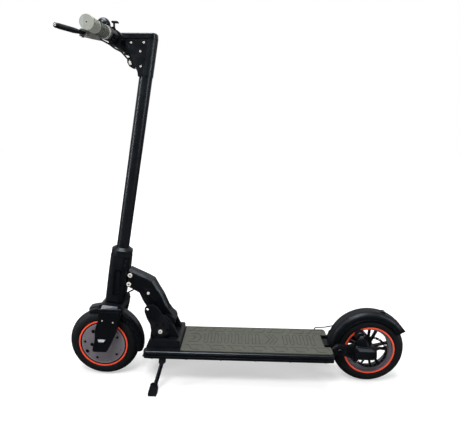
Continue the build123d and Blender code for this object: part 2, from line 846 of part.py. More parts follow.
with BuildPart() as taillight:
    lamp_plane = turned(rear_guard_x, rear_guard_z, lamp_start)
    with BuildSketch(lamp_plane) as lamp_section:
        with Locations((rear_guard_radius + lamp_depth / 2, 0)):
            Rectangle(lamp_depth, 2 * lamp_half)
        outer = lamp_section.vertices().group_by(Axis(lamp_plane.origin, lamp_plane.x_dir))[-1]
        fillet(outer, 1)
    revolve(axis=rear_guard_axis, revolution_arc=lamp_sweep)
save(taillight.part, "taillight")

# ================================================================ rear arms, axle, brake and wheel
arm_out = swing_inside + swing_thickness - 4
arm_cover = 8
swing_pin_radius = swing_boss - 10
swing_pin_head = 13
rear_arm_shape = (
    (15, 12), (6, 18.5), (-6, 19), (-48, 22), (-112, 16), (-128, 4), (-130, -26), (-116, -34), (-56, -34),
    (-8, -18), (10, -16), (19, -3),
)
window_depth = 4
rear_arm_window = ((-24, 9), (-46, 11), (-46, -19), (-24, -13))
cover_block = ((-54, 20), (-110, 15), (-126, 3), (-128, -25), (-115, -32), (-58, -32), (-50, -22), (-50, 10))
caliper_x, caliper_z = rear_x + 39, 190
caliper_radius = 20
caliper_tab = ((-56, 10), (-60, 44), (-88, 44), (-96, 10))
disc_gap = 0.5


def rear_side(y=0.0):
    """The side plane whose origin is at the rear arm's pivot."""
    return side(y, swing_x, swing_height)


with BuildPart() as rear_arm:
    for hand in (1, -1):
        face = hand * arm_out
        extrude(outline(rear_side(face), rear_arm_shape, 4), amount=hand * (arm_out - swing_inside))
        if hand > 0:
            extrude(outline(rear_side(face), caliper_tab, 4), amount=hand * (arm_out - swing_inside))
        extrude(outline(rear_side(face), rear_arm_window, 3), amount=hand * window_depth, mode=Mode.SUBTRACT)
        extrude(outline(rear_side(face), cover_block, 5), amount=-hand * arm_cover, taper=22)
        with BuildSketch(rear_side(face)):
            Circle(swing_pin_radius + running_fit)
        extrude(amount=hand * 20, mode=Mode.SUBTRACT)
    with BuildSketch(side(0, rear_x, axle_z)):
        Circle(axle_radius)
    extrude(amount=arm_out + 2, both=True, mode=Mode.SUBTRACT)
save(rear_arm.part, "rear_arm")

with BuildPart() as swing_pins:
    for hand in (1, -1):
        with BuildSketch(rear_side(hand * lug_inside)):
            Circle(swing_pin_radius)
        extrude(amount=-hand * (arm_out + 0.4 - lug_inside))
        with BuildSketch(rear_side(hand * (arm_out + 0.4))):
            Circle(swing_pin_head)
            RegularPolygon(5, 6, mode=Mode.SUBTRACT)
        extrude(amount=-hand * 4)
save(swing_pins.part, "swing_pins")

rear_hub_half = 30
with BuildPart() as rear_axle:
    with BuildSketch(side(0, rear_x, axle_z)):
        Circle(axle_radius)
    extrude(amount=arm_out + 2, both=True)
    for hand in (1, -1):
        with BuildSketch(side(hand * (rear_hub_half + body_gap), rear_x, axle_z)):
            Circle(axle_radius + 3.5)
            Circle(axle_radius, mode=Mode.SUBTRACT)
        extrude(amount=-hand * (swing_inside - rear_hub_half - body_gap))
save(rear_axle.part, "rear_axle")

rim_wall = 5
rim_well = 74
hub_radius = 24
spoke_pairs = 5
spoke_turn = 103
spoke_lean = 10
spoke_width = 6.5
spoke_half = 6
with BuildPart() as rear_rim:
    with BuildSketch(radial(rear_x)) as rim_section:
        with BuildLine():
            Polyline(
                (bead_radius, motor_half), (bead_radius, 12), (rim_well + 4, 9), (rim_well + 4, -9),
                (bead_radius, -12), (bead_radius, -motor_half), (ring_inner - 1, -motor_half),
                (ring_inner - 3, -16), (rim_well, -12), (rim_well, 12), (ring_inner - 3, 16),
                (ring_inner - 1, motor_half),
                close=True,
            )
        make_face()
    revolve(axis=rear_axis)
    with BuildSketch(side(0, rear_x, axle_z)):
        for lean in (-spoke_lean, spoke_lean):
            with PolarLocations((rim_well + hub_radius) / 2, spoke_pairs, start_angle=spoke_turn + lean):
                Rectangle(rim_well - hub_radius + 6, spoke_width)
    extrude(amount=spoke_half, both=True)
    with BuildSketch(side(rear_hub_half + 3, rear_x, axle_z)):
        Circle(hub_radius)
    extrude(amount=2 * rear_hub_half + 3)
    with BuildSketch(side(rear_hub_half + 3, rear_x, axle_z)):
        Circle(axle_radius + 4)
    extrude(amount=2 * rear_hub_half + 3, mode=Mode.SUBTRACT)
    for hand in (1, -1):
        with BuildSketch(side(hand * (rear_hub_half - bearing_width), rear_x, axle_z)):
            Circle(bearing_radius)
        extrude(amount=-hand * (bearing_width + 5), mode=Mode.SUBTRACT)
save(rear_rim.part, "rear_rim")

save(bearing_pair(rear_x, rear_axis, rear_hub_half - bearing_width), "rear_bearings")

disc_band = 8
disc_turn = 86
disc_middle = (disc_radius - disc_band + bearing_radius + 2) / 2
disc_arm = disc_radius - disc_band - bearing_radius
with BuildPart() as brake_disc:
    with BuildSketch(side(disc_inside + disc_thickness, rear_x, axle_z)):
        Circle(disc_radius)
        Circle(disc_radius - disc_band, mode=Mode.SUBTRACT)
        with PolarLocations(disc_middle, spoke_pairs, start_angle=disc_turn):
            Rectangle(disc_arm, 6)
        Circle(hub_radius)
        Circle(bearing_radius + 2, mode=Mode.SUBTRACT)
        with PolarLocations(disc_radius - disc_band / 2, 24):
            Circle(1.8, mode=Mode.SUBTRACT)
    extrude(amount=disc_thickness)
save(brake_disc.part, "brake_disc")

with BuildPart() as brake_caliper:
    with BuildSketch(side(swing_inside, caliper_x, caliper_z)):
        Circle(caliper_radius)
    extrude(amount=swing_inside - 29.5)
    chamfer(brake_caliper.faces().sort_by(Axis.Y)[-1].edges(), 1.5)
    with BuildSketch(radial(rear_x)) as disc_slot:
        low, high = disc_inside - disc_gap, disc_inside + disc_thickness + disc_gap
        with Locations(((disc_radius + 1.5) / 2, -(low + high) / 2)):
            Rectangle(disc_radius + 1.5, high - low)
    revolve(axis=rear_axis, mode=Mode.SUBTRACT)
save(brake_caliper.part, "brake_caliper")

# ---------------------------------------------------------------- lamp cable beside the rear mudguard
lamp_cable_radius = 2
lamp_cable_y = -rear_guard_half - lamp_cable_radius
lamp_cable_root = -deck_half + 4
lamp_cable_path = (
    Vector(notch_front + 17, lamp_cable_root, deck_top), Vector(notch_front + 13, lamp_cable_root, deck_top + 8),
    Vector(notch_front - 17, lamp_cable_root + 29, deck_top + 26), Vector(rear_guard_x + 120, lamp_cable_y - 3, 188),
    Vector(rear_guard_x + 102, lamp_cable_y, 196), Vector(rear_guard_x + 90, lamp_cable_y, 212),
)
with BuildPart() as taillight_cable:
    with BuildLine() as lamp_line:
        FilletPolyline(*lamp_cable_path, radius=7)
    with BuildSketch(Plane(origin=lamp_line.line @ 0, z_dir=lamp_line.line % 0)):
        Circle(lamp_cable_radius)
    sweep()
    add(bored_deck.part, mode=Mode.SUBTRACT)
    add(deck_mat.part, mode=Mode.SUBTRACT)
save(taillight_cable.part, "taillight_cable")

# ================================================================ kickstand
stand_pivot = Vector(front_x - 228, 83, 98)
stand_foot = Vector(front_x - 201, 130, 0)
stand_way = (stand_foot - stand_pivot).normalized()
stand_axis = Vector(0, -stand_way.Z, stand_way.Y).normalized()
stand_plane = Plane(origin=stand_pivot, x_dir=(1, 0, 0), z_dir=stand_axis)
leg_radius = 7
boot_shape = ((13, -14), (15, 6), (7, 37), (-13, 40), (-17, 20), (-13, -14))
boot_half = 9
knuckle_half = 8
knuckle_out = 9
ear_near, ear_far = knuckle_half + 1.5, knuckle_half + 6
stand_pin_radius = 4
stand_under = deck_floor - base_plate

with BuildPart() as stand_ears:
    for offset in (ear_near, -ear_far):
        with BuildSketch(stand_plane.offset(offset)):
            with Locations((0, -16)):
                Rectangle(20, 32)
            Circle(10)
        extrude(amount=ear_far - ear_near)
    with BuildSketch(stand_plane.offset(-ear_far)):
        Circle(stand_pin_radius)
    extrude(amount=2 * ear_far)
    with BuildSketch(Plane.XY.offset(stand_under - 3)):
        with Locations((stand_pivot.X, 64)):
            RectangleRounded(52, 28, 5)
    extrude(amount=3)
    with BuildSketch(Plane.XY.offset(stand_under)):
        with Locations((stand_pivot.X, stand_pivot.Y)):
            Rectangle(80, 120)
    extrude(amount=60, mode=Mode.SUBTRACT)
save(stand_ears.part, "kickstand_bracket")

with BuildPart() as kickstand_leg:
    with BuildSketch(stand_plane.offset(-knuckle_half)):
        Circle(knuckle_out)
    extrude(amount=2 * knuckle_half)
    with BuildSketch(Plane(origin=stand_pivot, z_dir=stand_way)):
        Circle(leg_radius)
    extrude(amount=(stand_foot - stand_pivot).length)
    boot_up = Vector(0, -stand_way.Y, -stand_way.Z).normalized()
    boot_plane = Plane(origin=stand_foot, x_dir=(1, 0, 0), z_dir=Vector(1, 0, 0).cross(boot_up))
    extrude(outline(boot_plane, boot_shape, 2), amount=boot_half, both=True)
    with BuildSketch(Plane.XY):
        with Locations((stand_foot.X, stand_foot.Y)):
            Rectangle(120, 120)
    extrude(amount=-60, mode=Mode.SUBTRACT)
    with BuildSketch(stand_plane.offset(-ear_far)):
        Circle(stand_pin_radius + running_fit)
    extrude(amount=2 * ear_far, mode=Mode.SUBTRACT)
save(kickstand_leg.part, "kickstand_leg")

# ================================================================ stem, gooseneck and display
with BuildPart() as stem_collar:
    collar_plane = Plane(origin=steer_foot, x_dir=ahead, z_dir=(0, -1, 0))
    with BuildSketch(collar_plane) as collar_section:
        with BuildLine():
            Polyline(
                (steerer_radius, head_top + body_gap),
                (collar_radius, head_top + body_gap),
                (collar_radius, head_top + 20),
                (stem_radius + 3, head_top + 28),
                (stem_radius, head_top + 28),
                (stem_radius, head_top + 8),
                (steerer_radius, head_top + 8),
                close=True,
            )
        make_face()
    revolve(axis=Axis(steer_foot, upward))
save(stem_collar.part, "stem_collar")

with BuildPart() as stem_tube:
    with BuildSketch(steer.offset(head_top + 8)):
        Circle(stem_radius)
        Circle(stem_radius - stem_wall, mode=Mode.SUBTRACT)
    extrude(amount=stem_top - head_top - 8)
save(stem_tube.part, "stem_tube")

neck_half = 22
sleeve_wall = 1.4
sleeve_bottom = stem_top - 98
bar_x, bar_z = bar_height(0, 0)
display_floor = bar_z + display_drop
display_roof = display_floor + display_height
plate_shape = (
    (0, sleeve_bottom), (0, bar_up + 32), near_bar(1.4, 13), near_bar(-3, -11.7), near_bar(-20, -13.3),
    near_bar(-29, -22.5), near_bar(-47, -43), near_bar(-59, -63), near_bar(-71.4, -82), near_bar(-75, -95),
)

with BuildPart() as gooseneck:
    extrude(outline(steer_side(0), plate_shape), amount=neck_half, both=True)
    with BuildSketch(steer.offset(sleeve_bottom)):
        Circle(stem_radius + sleeve_wall)
    extrude(amount=bar_up + 40 - sleeve_bottom)
    with BuildSketch(Plane.XY.offset(display_floor)):
        with Locations((front_x + bar_x - 60, 0)):
            Rectangle(240, 120)
    extrude(amount=60, mode=Mode.SUBTRACT)
    with BuildSketch(steer_side(0)):
        with Locations((bar_ahead, bar_up)):
            Circle(clamp_radius)
    extrude(amount=bar_flat, both=True)
    with BuildSketch(steer_side(0)):
        with Locations((bar_ahead, bar_up)):
            Circle(bar_radius)
    extrude(amount=bar_flat, both=True, mode=Mode.SUBTRACT)
    with BuildSketch(steer.offset(sleeve_bottom - 50)):
        Circle(stem_radius)
    extrude(amount=stem_top - sleeve_bottom + 50, mode=Mode.SUBTRACT)
save(gooseneck.part, "gooseneck")

gooseneck_screw_spots = (near_bar(-40.3, 1), near_bar(-79.5, 8), near_bar(-72.5, -19.6), near_bar(-79.7, -64))
with BuildPart() as gooseneck_screws:
    for y, way in ((neck_half + 2, 1), (-neck_half - 2, -1)):
        with BuildSketch(steer_side(y)):
            with Locations(*gooseneck_screw_spots):
                Circle(4)
                RegularPolygon(2, 6, mode=Mode.SUBTRACT)
        extrude(amount=way * 2)
save(gooseneck_screws.part, "gooseneck_screws")

display_half = 24
display_rear = front_x + bar_x - 120
display_front = front_x + bar_x - 5
display_nose = 19
display_bevel = 2.5
button_x = front_x + bar_x - 105
button_radius = 6
button_travel = 1.2
button_depth = 6
screen_depth = 1
with BuildPart() as display_unit:
    with BuildSketch(Plane.XY.offset(display_floor)) as display_plan:
        with Locations(((display_rear + display_front) / 2, 0)):
            Rectangle(display_front - display_rear, 2 * display_half)
        fillet(display_plan.vertices().group_by(Axis.X)[0], display_nose)
        fillet(display_plan.vertices().group_by(Axis.X)[-1], 4)
    extrude(amount=display_height)
    chamfer(display_unit.faces().sort_by(Axis.Z)[-1].edges(), display_bevel)
    with BuildSketch(steer_side(0)):
        with Locations((bar_ahead, bar_up)):
            Circle(clamp_radius)
    extrude(amount=bar_flat, both=True, mode=Mode.SUBTRACT)
    with BuildSketch(Plane.XY.offset(display_roof)):
        with Locations((front_x + bar_x - 57, 0)):
            RectangleRounded(66, 34, 4)
    extrude(amount=-screen_depth, mode=Mode.SUBTRACT)
    with BuildSketch(Plane.XY.offset(display_roof)):
        with Locations((button_x, 0)):
            Circle(button_radius + running_fit)
    extrude(amount=-button_depth, mode=Mode.SUBTRACT)
save(display_unit.part, "display_unit")

with BuildPart() as power_button:
    with BuildSketch(Plane.XY.offset(display_roof + 1.5)):
        with Locations((button_x, 0)):
            Circle(button_radius)
    extrude(amount=-(1.5 + button_depth - button_travel - 0.3))
    chamfer(power_button.faces().sort_by(Axis.Z)[-1].edges(), 0.8)
save(power_button.part, "power_button")

# ================================================================ handlebar and what it carries
bar_break = 72
bar_slope_length = 198


def bar_point(y, across=0.0, up=0.0):
    """A point on the bar's centre line at y, shifted ahead and up in the steering frame."""
    share = max(0.0, (abs(y) - bar_break) / bar_slope_length)
    spot = steer_foot + ahead * (bar_ahead + bar_advance * share + across)
    return spot + upward * (bar_up - bar_drop * share + up) + left * y


def bar_way(hand):
    """The direction of the bar's outer half, pointing outward."""
    return (bar_point(hand * bar_half) - bar_point(hand * bar_break)).normalized()


def bar_plane(hand, distance):
    """A plane across the bar at a distance from the middle: its x runs ahead, its normal outward."""
    return Plane(origin=bar_point(hand * distance), x_dir=ahead, z_dir=bar_way(hand))


bar_end = bar_half - 4.6
with BuildPart() as handlebar:
    with BuildLine() as bar_line:
        FilletPolyline(
            bar_point(-bar_end), bar_point(-bar_break), bar_point(bar_break), bar_point(bar_end), radius=180
        )
    with BuildSketch(Plane(origin=bar_line.line @ 0, z_dir=bar_line.line % 0)):
        Circle(bar_radius)
    sweep()
save(handlebar.part, "handlebar")

rib_pitch = 7
rib_depth = 0.9
flange_depth = 4
rib_count = int((grip_length - 3 * flange_depth) / rib_pitch)
with BuildPart() as grips:
    for hand in (1, -1):
        base = bar_plane(hand, grip_start)
        flat_end = grip_length - flange_depth - 0.2
        with BuildSketch(base):
            Circle(grip_radius)
            Circle(bar_radius, mode=Mode.SUBTRACT)
        extrude(amount=flat_end)
        with BuildSketch(base):
            Circle(grip_radius + 1.8)
            Circle(bar_radius, mode=Mode.SUBTRACT)
        extrude(amount=flange_depth)
        with BuildSketch(base.offset(flat_end)):
            Circle(grip_radius + 1.2)
            Circle(4, mode=Mode.SUBTRACT)
        extrude(amount=flange_depth)
        for n in range(rib_count):
            with BuildSketch(base.offset(10 + n * rib_pitch)):
                Circle(grip_radius)
                Circle(grip_radius - rib_depth, mode=Mode.SUBTRACT)
            extrude(amount=3, mode=Mode.SUBTRACT)
save(grips.part, "grips")

# ---------------------------------------------------------------- brake lever on the left
perch_ring = 19.5
perch_from, perch_to = grip_start - 33, grip_start - 11
lever_tilt = 5.5
lever_pivot = bar_point(grip_start + 3, 58.9, -14.3)
lever_up = (upward * cos(radians(lever_tilt)) + left * sin(radians(lever_tilt))).normalized()
lever_plane = Plane(origin=lever_pivot, x_dir=ahead, z_dir=lever_up)
perch_half = 10
lever_half = 4
lever_root_gap = 0.3
lever_pin_radius = 3
perch_shape = (
    (-44, -37), (-16, -37), (-8, -22), (8, -8), (9, 2), (2, 9), (-8, 9), (-20, -4), (-32, -12), (-44, -13),
)
lever_root = ((-7, -6), (6, -6), (9, 10), (15, 28), (2, 28), (-7, 12))
lever_blade = ((-4, 16), (10, 16), (18, 36), (28, 74), (34, 98), (31, 105), (25, 102), (17, 74), (6, 40))
blade_half = 5.5
blade_reach = 105

with BuildPart() as brake_perch:
    with BuildSketch(bar_plane(1, perch_from)):
        Circle(perch_ring)
    extrude(amount=perch_to - perch_from)
    extrude(outline(lever_plane.offset(-perch_half), perch_shape, 2), amount=2 * perch_half)
    with BuildSketch(lever_plane.offset(-lever_half - lever_root_gap)):
        with Locations((2, 2)):
            Circle(17)
    extrude(amount=2 * (lever_half + lever_root_gap), mode=Mode.SUBTRACT)
    with BuildSketch(lever_plane.offset(-perch_half)):
        Circle(lever_pin_radius)
    extrude(amount=2 * perch_half)
    with BuildSketch(Plane(origin=lever_plane.from_local_coords((-22, -37, 0)), z_dir=(0, -1, 0))):
        Circle(5)
    extrude(amount=18)
    with BuildSketch(bar_plane(1, perch_from - 20)):
        Circle(bar_radius)
    extrude(amount=60, mode=Mode.SUBTRACT)
save(brake_perch.part, "brake_perch")

with BuildPart() as brake_lever:
    extrude(outline(lever_plane.offset(-blade_half), lever_blade, 2), amount=2 * blade_half)
    lever_way = lever_up.cross(ahead)
    with BuildSketch(Plane(origin=lever_pivot - ahead * 20, x_dir=lever_way, z_dir=ahead)):
        with Locations((blade_reach / 2, 0)):
            RectangleRounded(blade_reach, 2 * blade_half, blade_half - 0.5)
    extrude(amount=80, mode=Mode.INTERSECT)
    extrude(outline(lever_plane.offset(-lever_half), lever_root, 2), amount=2 * lever_half)
    with BuildSketch(lever_plane.offset(-perch_half)):
        Circle(lever_pin_radius + running_fit)
    extrude(amount=2 * perch_half, mode=Mode.SUBTRACT)
save(brake_lever.part, "brake_lever")

brake_cable_radius = 2.6
cable_start = lever_plane.from_local_coords((-22, -37, 0)) - left * 18


def bar_spot(y, forward, above):
    """A point in space given from the middle of the handlebar in the steering frame."""
    across, along = near_bar(forward, above)
    return steer_foot + ahead * across + upward * along + left * y


guide_y = 14
guide_half = 4.5
brake_cable_path = (
    cable_start, cable_start - left * 12, bar_spot(68, 9, -23), bar_spot(52, -1, -29), bar_spot(36, -17.5, -33),
    bar_spot(guide_y, -36, -50), bar_spot(guide_y, -50, -66),
)
with BuildPart() as brake_cable:
    with BuildLine() as brake_line:
        FilletPolyline(*brake_cable_path, radius=18)
    with BuildSketch(Plane(origin=brake_line.line @ 0, z_dir=brake_line.line % 0)):
        Circle(brake_cable_radius)
    sweep()
save(brake_cable.part, "brake_cable")

guide_shape = tuple(
    near_bar(*spot)
    for spot in (
        (-33, -50), (-36, -44), (-44, -41), (-56, -60), (-62, -74), (-54, -74), (-43, -70), (-35, -60),
    )
)
guide_slots = ((-40.5, -51.5, 5), (-47, -63.5, 5))
with BuildPart() as cable_guide:
    extrude(outline(steer_side(guide_y + guide_half), guide_shape, 1.5), amount=2 * guide_half)
    with BuildSketch(steer_side(guide_y + guide_half)):
        for forward, above, length in guide_slots:
            with Locations(Location(near_bar(forward, above), 50)):
                SlotOverall(length + 3, 3)
    extrude(amount=2 * guide_half, mode=Mode.SUBTRACT)
    add(gooseneck.part, mode=Mode.SUBTRACT)
    add(brake_cable.part, mode=Mode.SUBTRACT)
    add(stem_tube.part, mode=Mode.SUBTRACT)
save(cable_guide.part, "cable_guide")

# ---------------------------------------------------------------- bell on the left
bell_from, bell_to = perch_from - 26, perch_from - 8
bell_ring = 18.4
bell_y = bell_to + 2
bell_bar = bar_point(bell_y)
bell_x, bell_z = bell_bar.X + 14.5, bell_bar.Z + 24.5
bell_radius = 18.7
bell_skirt = 2.5
striker_x, striker_z = bell_x - 27, bell_z - 6.5
striker_y = bell_y - 10
striker_pin = 1.5
striker_hub = 2.6
striker_half = 2


def near_bell(forward, above):
    """A place in a side plane given from the foot of the bell's dome."""
    return bell_x + forward, bell_z + above


with BuildPart() as bell_body:
    with BuildSketch(bar_plane(1, bell_from)):
        Circle(bell_ring)
    extrude(amount=bell_to - bell_from)
    foot_shape = (near_bell(-19, -13), near_bell(8, -13), near_bell(10, 0), near_bell(-17, 0))
    extrude(outline(side(bell_y - 2), foot_shape), amount=14)
    ear_shape = (
        near_bell(-12, -11), near_bell(-12, -2.5), near_bell(-27, -2), near_bell(-31, -6.5),
        near_bell(-27, -11),
    )
    for y in (striker_y + striker_half + 0.4, striker_y - striker_half - 3.4):
        extrude(outline(side(y + 3), ear_shape, 1), amount=3)
    with BuildSketch(side(striker_y, striker_x, striker_z)):
        Circle(striker_pin)
    extrude(amount=striker_half + 2, both=True)
    with BuildSketch(Plane(origin=(bell_x, bell_y, bell_z), x_dir=(1, 0, 0), z_dir=(0, -1, 0))) as dome:
        with BuildLine():
            Line((0, 0), (bell_radius, 0))
            Line((bell_radius, 0), (bell_radius, bell_skirt))
            CenterArc((0, bell_skirt), bell_radius, 0, 90)
            Line((0, bell_skirt + bell_radius), (0, 0))
        make_face()
    revolve(axis=Axis((bell_x, bell_y, bell_z), (0, 0, 1)))
    with BuildSketch(bar_plane(1, bell_from - 20)):
        Circle(bar_radius)
    extrude(amount=60, mode=Mode.SUBTRACT)
save(bell_body.part, "bell_body")

striker_bar_half = 5
with BuildPart() as bell_striker:
    stem = (near_bell(-24.5, -6.5), near_bell(-29.5, -6.5), near_bell(-29.5, 10), near_bell(-24.5, 10))
    extrude(outline(side(striker_y), stem), amount=striker_half, both=True)
    with BuildSketch(side(striker_y, striker_x, striker_z)):
        Circle(striker_hub)
    extrude(amount=striker_half, both=True)
    striker_bar = (
        near_bell(-20.5, 9.5), near_bell(-40, 8.5), near_bell(-40, 12), near_bell(-38, 13.5), near_bell(-22, 14),
        near_bell(-20.5, 12.5),
    )
    extrude(outline(side(striker_y), striker_bar, 0.8), amount=striker_bar_half, both=True)
    with BuildSketch(side(striker_y, striker_x, striker_z)):
        Circle(striker_pin + running_fit)
    extrude(amount=20, both=True, mode=Mode.SUBTRACT)
save(bell_striker.part, "bell_striker")

# ---------------------------------------------------------------- throttle on the right
throttle_from, throttle_to = grip_start - 35, grip_start - 13
throttle_ring = 20
paddle_from = throttle_to + body_gap
paddle_width = grip_start - body_gap - paddle_from
with BuildPart() as throttle_housing:
    with BuildSketch(bar_plane(-1, throttle_from)):
        Circle(throttle_ring)
        with Locations((4, 0)):
            Rectangle(2 * throttle_ring - 10, 2 * throttle_ring - 6)
        Circle(bar_radius, mode=Mode.SUBTRACT)
    extrude(amount=throttle_to - throttle_from)
save(throttle_housing.part, "throttle_housing")

paddle_shape = ((-14, 9), (-44, 6), (-47, 0), (-44, -4), (-30, -4), (-12, -10))
with BuildPart() as throttle_lever:
    with BuildSketch(bar_plane(-1, paddle_from)):
        Circle(throttle_ring)
    extrude(amount=paddle_width)
    extrude(outline(bar_plane(-1, paddle_from), paddle_shape), amount=paddle_width)
    with BuildSketch(bar_plane(-1, paddle_from - 5)):
        Circle(bar_radius + running_fit)
    extrude(amount=paddle_width + 10, mode=Mode.SUBTRACT)
save(throttle_lever.part, "throttle_lever")

# ---------------------------------------------------------------- headlight
lamp_shape = (
    bar_height(7, -14), bar_height(29, -12), bar_height(33, -8), bar_height(33, 5), bar_height(28, 9),
    bar_height(11, 9),
)
with BuildPart() as headlight:
    extrude(outline(front_side(0), lamp_shape, 1.5), amount=16, both=True)
    with BuildSketch(steer_side(0)):
        with Locations((bar_ahead, bar_up)):
            Circle(clamp_radius)
    extrude(amount=20, both=True, mode=Mode.SUBTRACT)
save(headlight.part, "headlight")

with BuildPart() as headlight_lens:
    with BuildSketch(Plane.YZ.offset(front_x + bar_x + 33)):
        with Locations((0, bar_z - 1.5)):
            RectangleRounded(24, 10, 3)
    extrude(amount=2)
save(headlight_lens.part, "headlight_lens")
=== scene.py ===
"""Looks for the folding electric kick scooter: materials, small fittings, floor, light and camera."""
import json
import math

import bmesh
import bpy
from mathutils import Matrix, Vector


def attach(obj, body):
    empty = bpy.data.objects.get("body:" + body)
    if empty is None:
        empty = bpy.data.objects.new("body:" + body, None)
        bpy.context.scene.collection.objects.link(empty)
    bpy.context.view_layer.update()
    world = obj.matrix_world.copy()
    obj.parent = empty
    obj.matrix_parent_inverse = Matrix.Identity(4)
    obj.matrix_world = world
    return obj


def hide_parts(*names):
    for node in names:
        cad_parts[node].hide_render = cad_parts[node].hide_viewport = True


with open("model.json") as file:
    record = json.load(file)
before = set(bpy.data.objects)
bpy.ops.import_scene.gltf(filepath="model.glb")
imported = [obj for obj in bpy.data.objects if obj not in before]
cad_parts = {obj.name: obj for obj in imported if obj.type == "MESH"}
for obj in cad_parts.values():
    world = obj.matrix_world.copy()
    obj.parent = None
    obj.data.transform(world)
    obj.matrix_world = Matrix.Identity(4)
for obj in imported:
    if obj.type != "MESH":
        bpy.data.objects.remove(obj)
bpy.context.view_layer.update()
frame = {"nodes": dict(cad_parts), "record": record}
nodes = frame["nodes"]
scene = bpy.context.scene

# ---------------------------------------------------------------- places, in millimetres unless said
MM = 0.001
HANDS = (1, -1)
FRONT = 481.5  # the front axle, ahead of the middle of the wheelbase
REAR = -FRONT
AXLE = 127  # height of both axles
RAKE = math.radians(10)  # lean of the steering axis
FORK_OFFSET = 17  # from the steering axis forward to the front axle
HUB_FACE, HUB_DOME = 25.4, 4.2  # the motor cover's face at its rim, and its rise towards the middle
HUB_RIM, HUB_SLOPE = 79.2, 51  # the rim's radius, and the width of the slope
COVER_FACE = 62  # outer face of the fork's leg covers
ARM_HALF = 20  # a little inside the neck arm's faces
PEDAL_PIVOT = (-217, 194)
GOOSENECK_HALF = 21
BAR_AHEAD, BAR_UP = 95.2, 1042.3  # the handlebar's middle, in the steering frame
BAR_FLAT, BAR_SLOPE = 72, 198  # straight half length, then length of the sloping end
BAR_ADVANCE, BAR_DROP = 2.4, 9.6  # of the sloping end
GRIP_START = 145
LEVER_PIVOT = (439.55, 148.0, 1159.72)
LEVER_UP = Vector((-0.17, 0.0957, 0.98)).normalized()
CABLE_START = (417.27, 93.17, 1159.39)
BELL = (392.71, 106, 1189.99)
DISPLAY_ROOF = 1190
MAT_LOW, MAT_HIGH = 145.5, 146.55  # a line pressed into the mat, from below its top to just above; drawn dark as painted shade of the groove
GUARD_HALF = 30  # of the rear mudguard, at its hem
AHEAD = Vector((math.cos(RAKE), 0, math.sin(RAKE)))
UP = Vector((-math.sin(RAKE), 0, math.cos(RAKE)))
LEFT = Vector((0, 1, 0))
ROW_X, ROW_Z = Vector((1, 0, 0)), Vector((0, 0, 1))


def local_frame(first, second, third, origin):
    """A matrix from millimetres along three directions to metres in the shared frame."""
    axes = Matrix((first, second, third)).transposed() * MM
    return Matrix.Translation(Vector(origin) * MM) @ axes.to_4x4()


STEER = local_frame(AHEAD, UP, LEFT, Vector((FRONT, 0, AXLE)) - AHEAD * FORK_OFFSET)
ROW = local_frame(ROW_X, LEFT, ROW_Z, (0, 0, 0))
FRONT_SIDE = local_frame(ROW_X, ROW_Z, LEFT, (FRONT, 0, 0))
FRONT_WHEEL = local_frame(ROW_X, ROW_Z, LEFT, (FRONT, 0, AXLE))
REAR_WHEEL = local_frame(ROW_X, ROW_Z, LEFT, (REAR, 0, AXLE))


# ---------------------------------------------------------------- node materials
COOL = (0.8, 0.9, 1.0, 1)  # tint of the gloss on dark paint
DARK = 0.02
MIX_FIRST, MIX_SECOND, MIX_COLOR = 6, 7, 2  # colour sockets of a Mix node


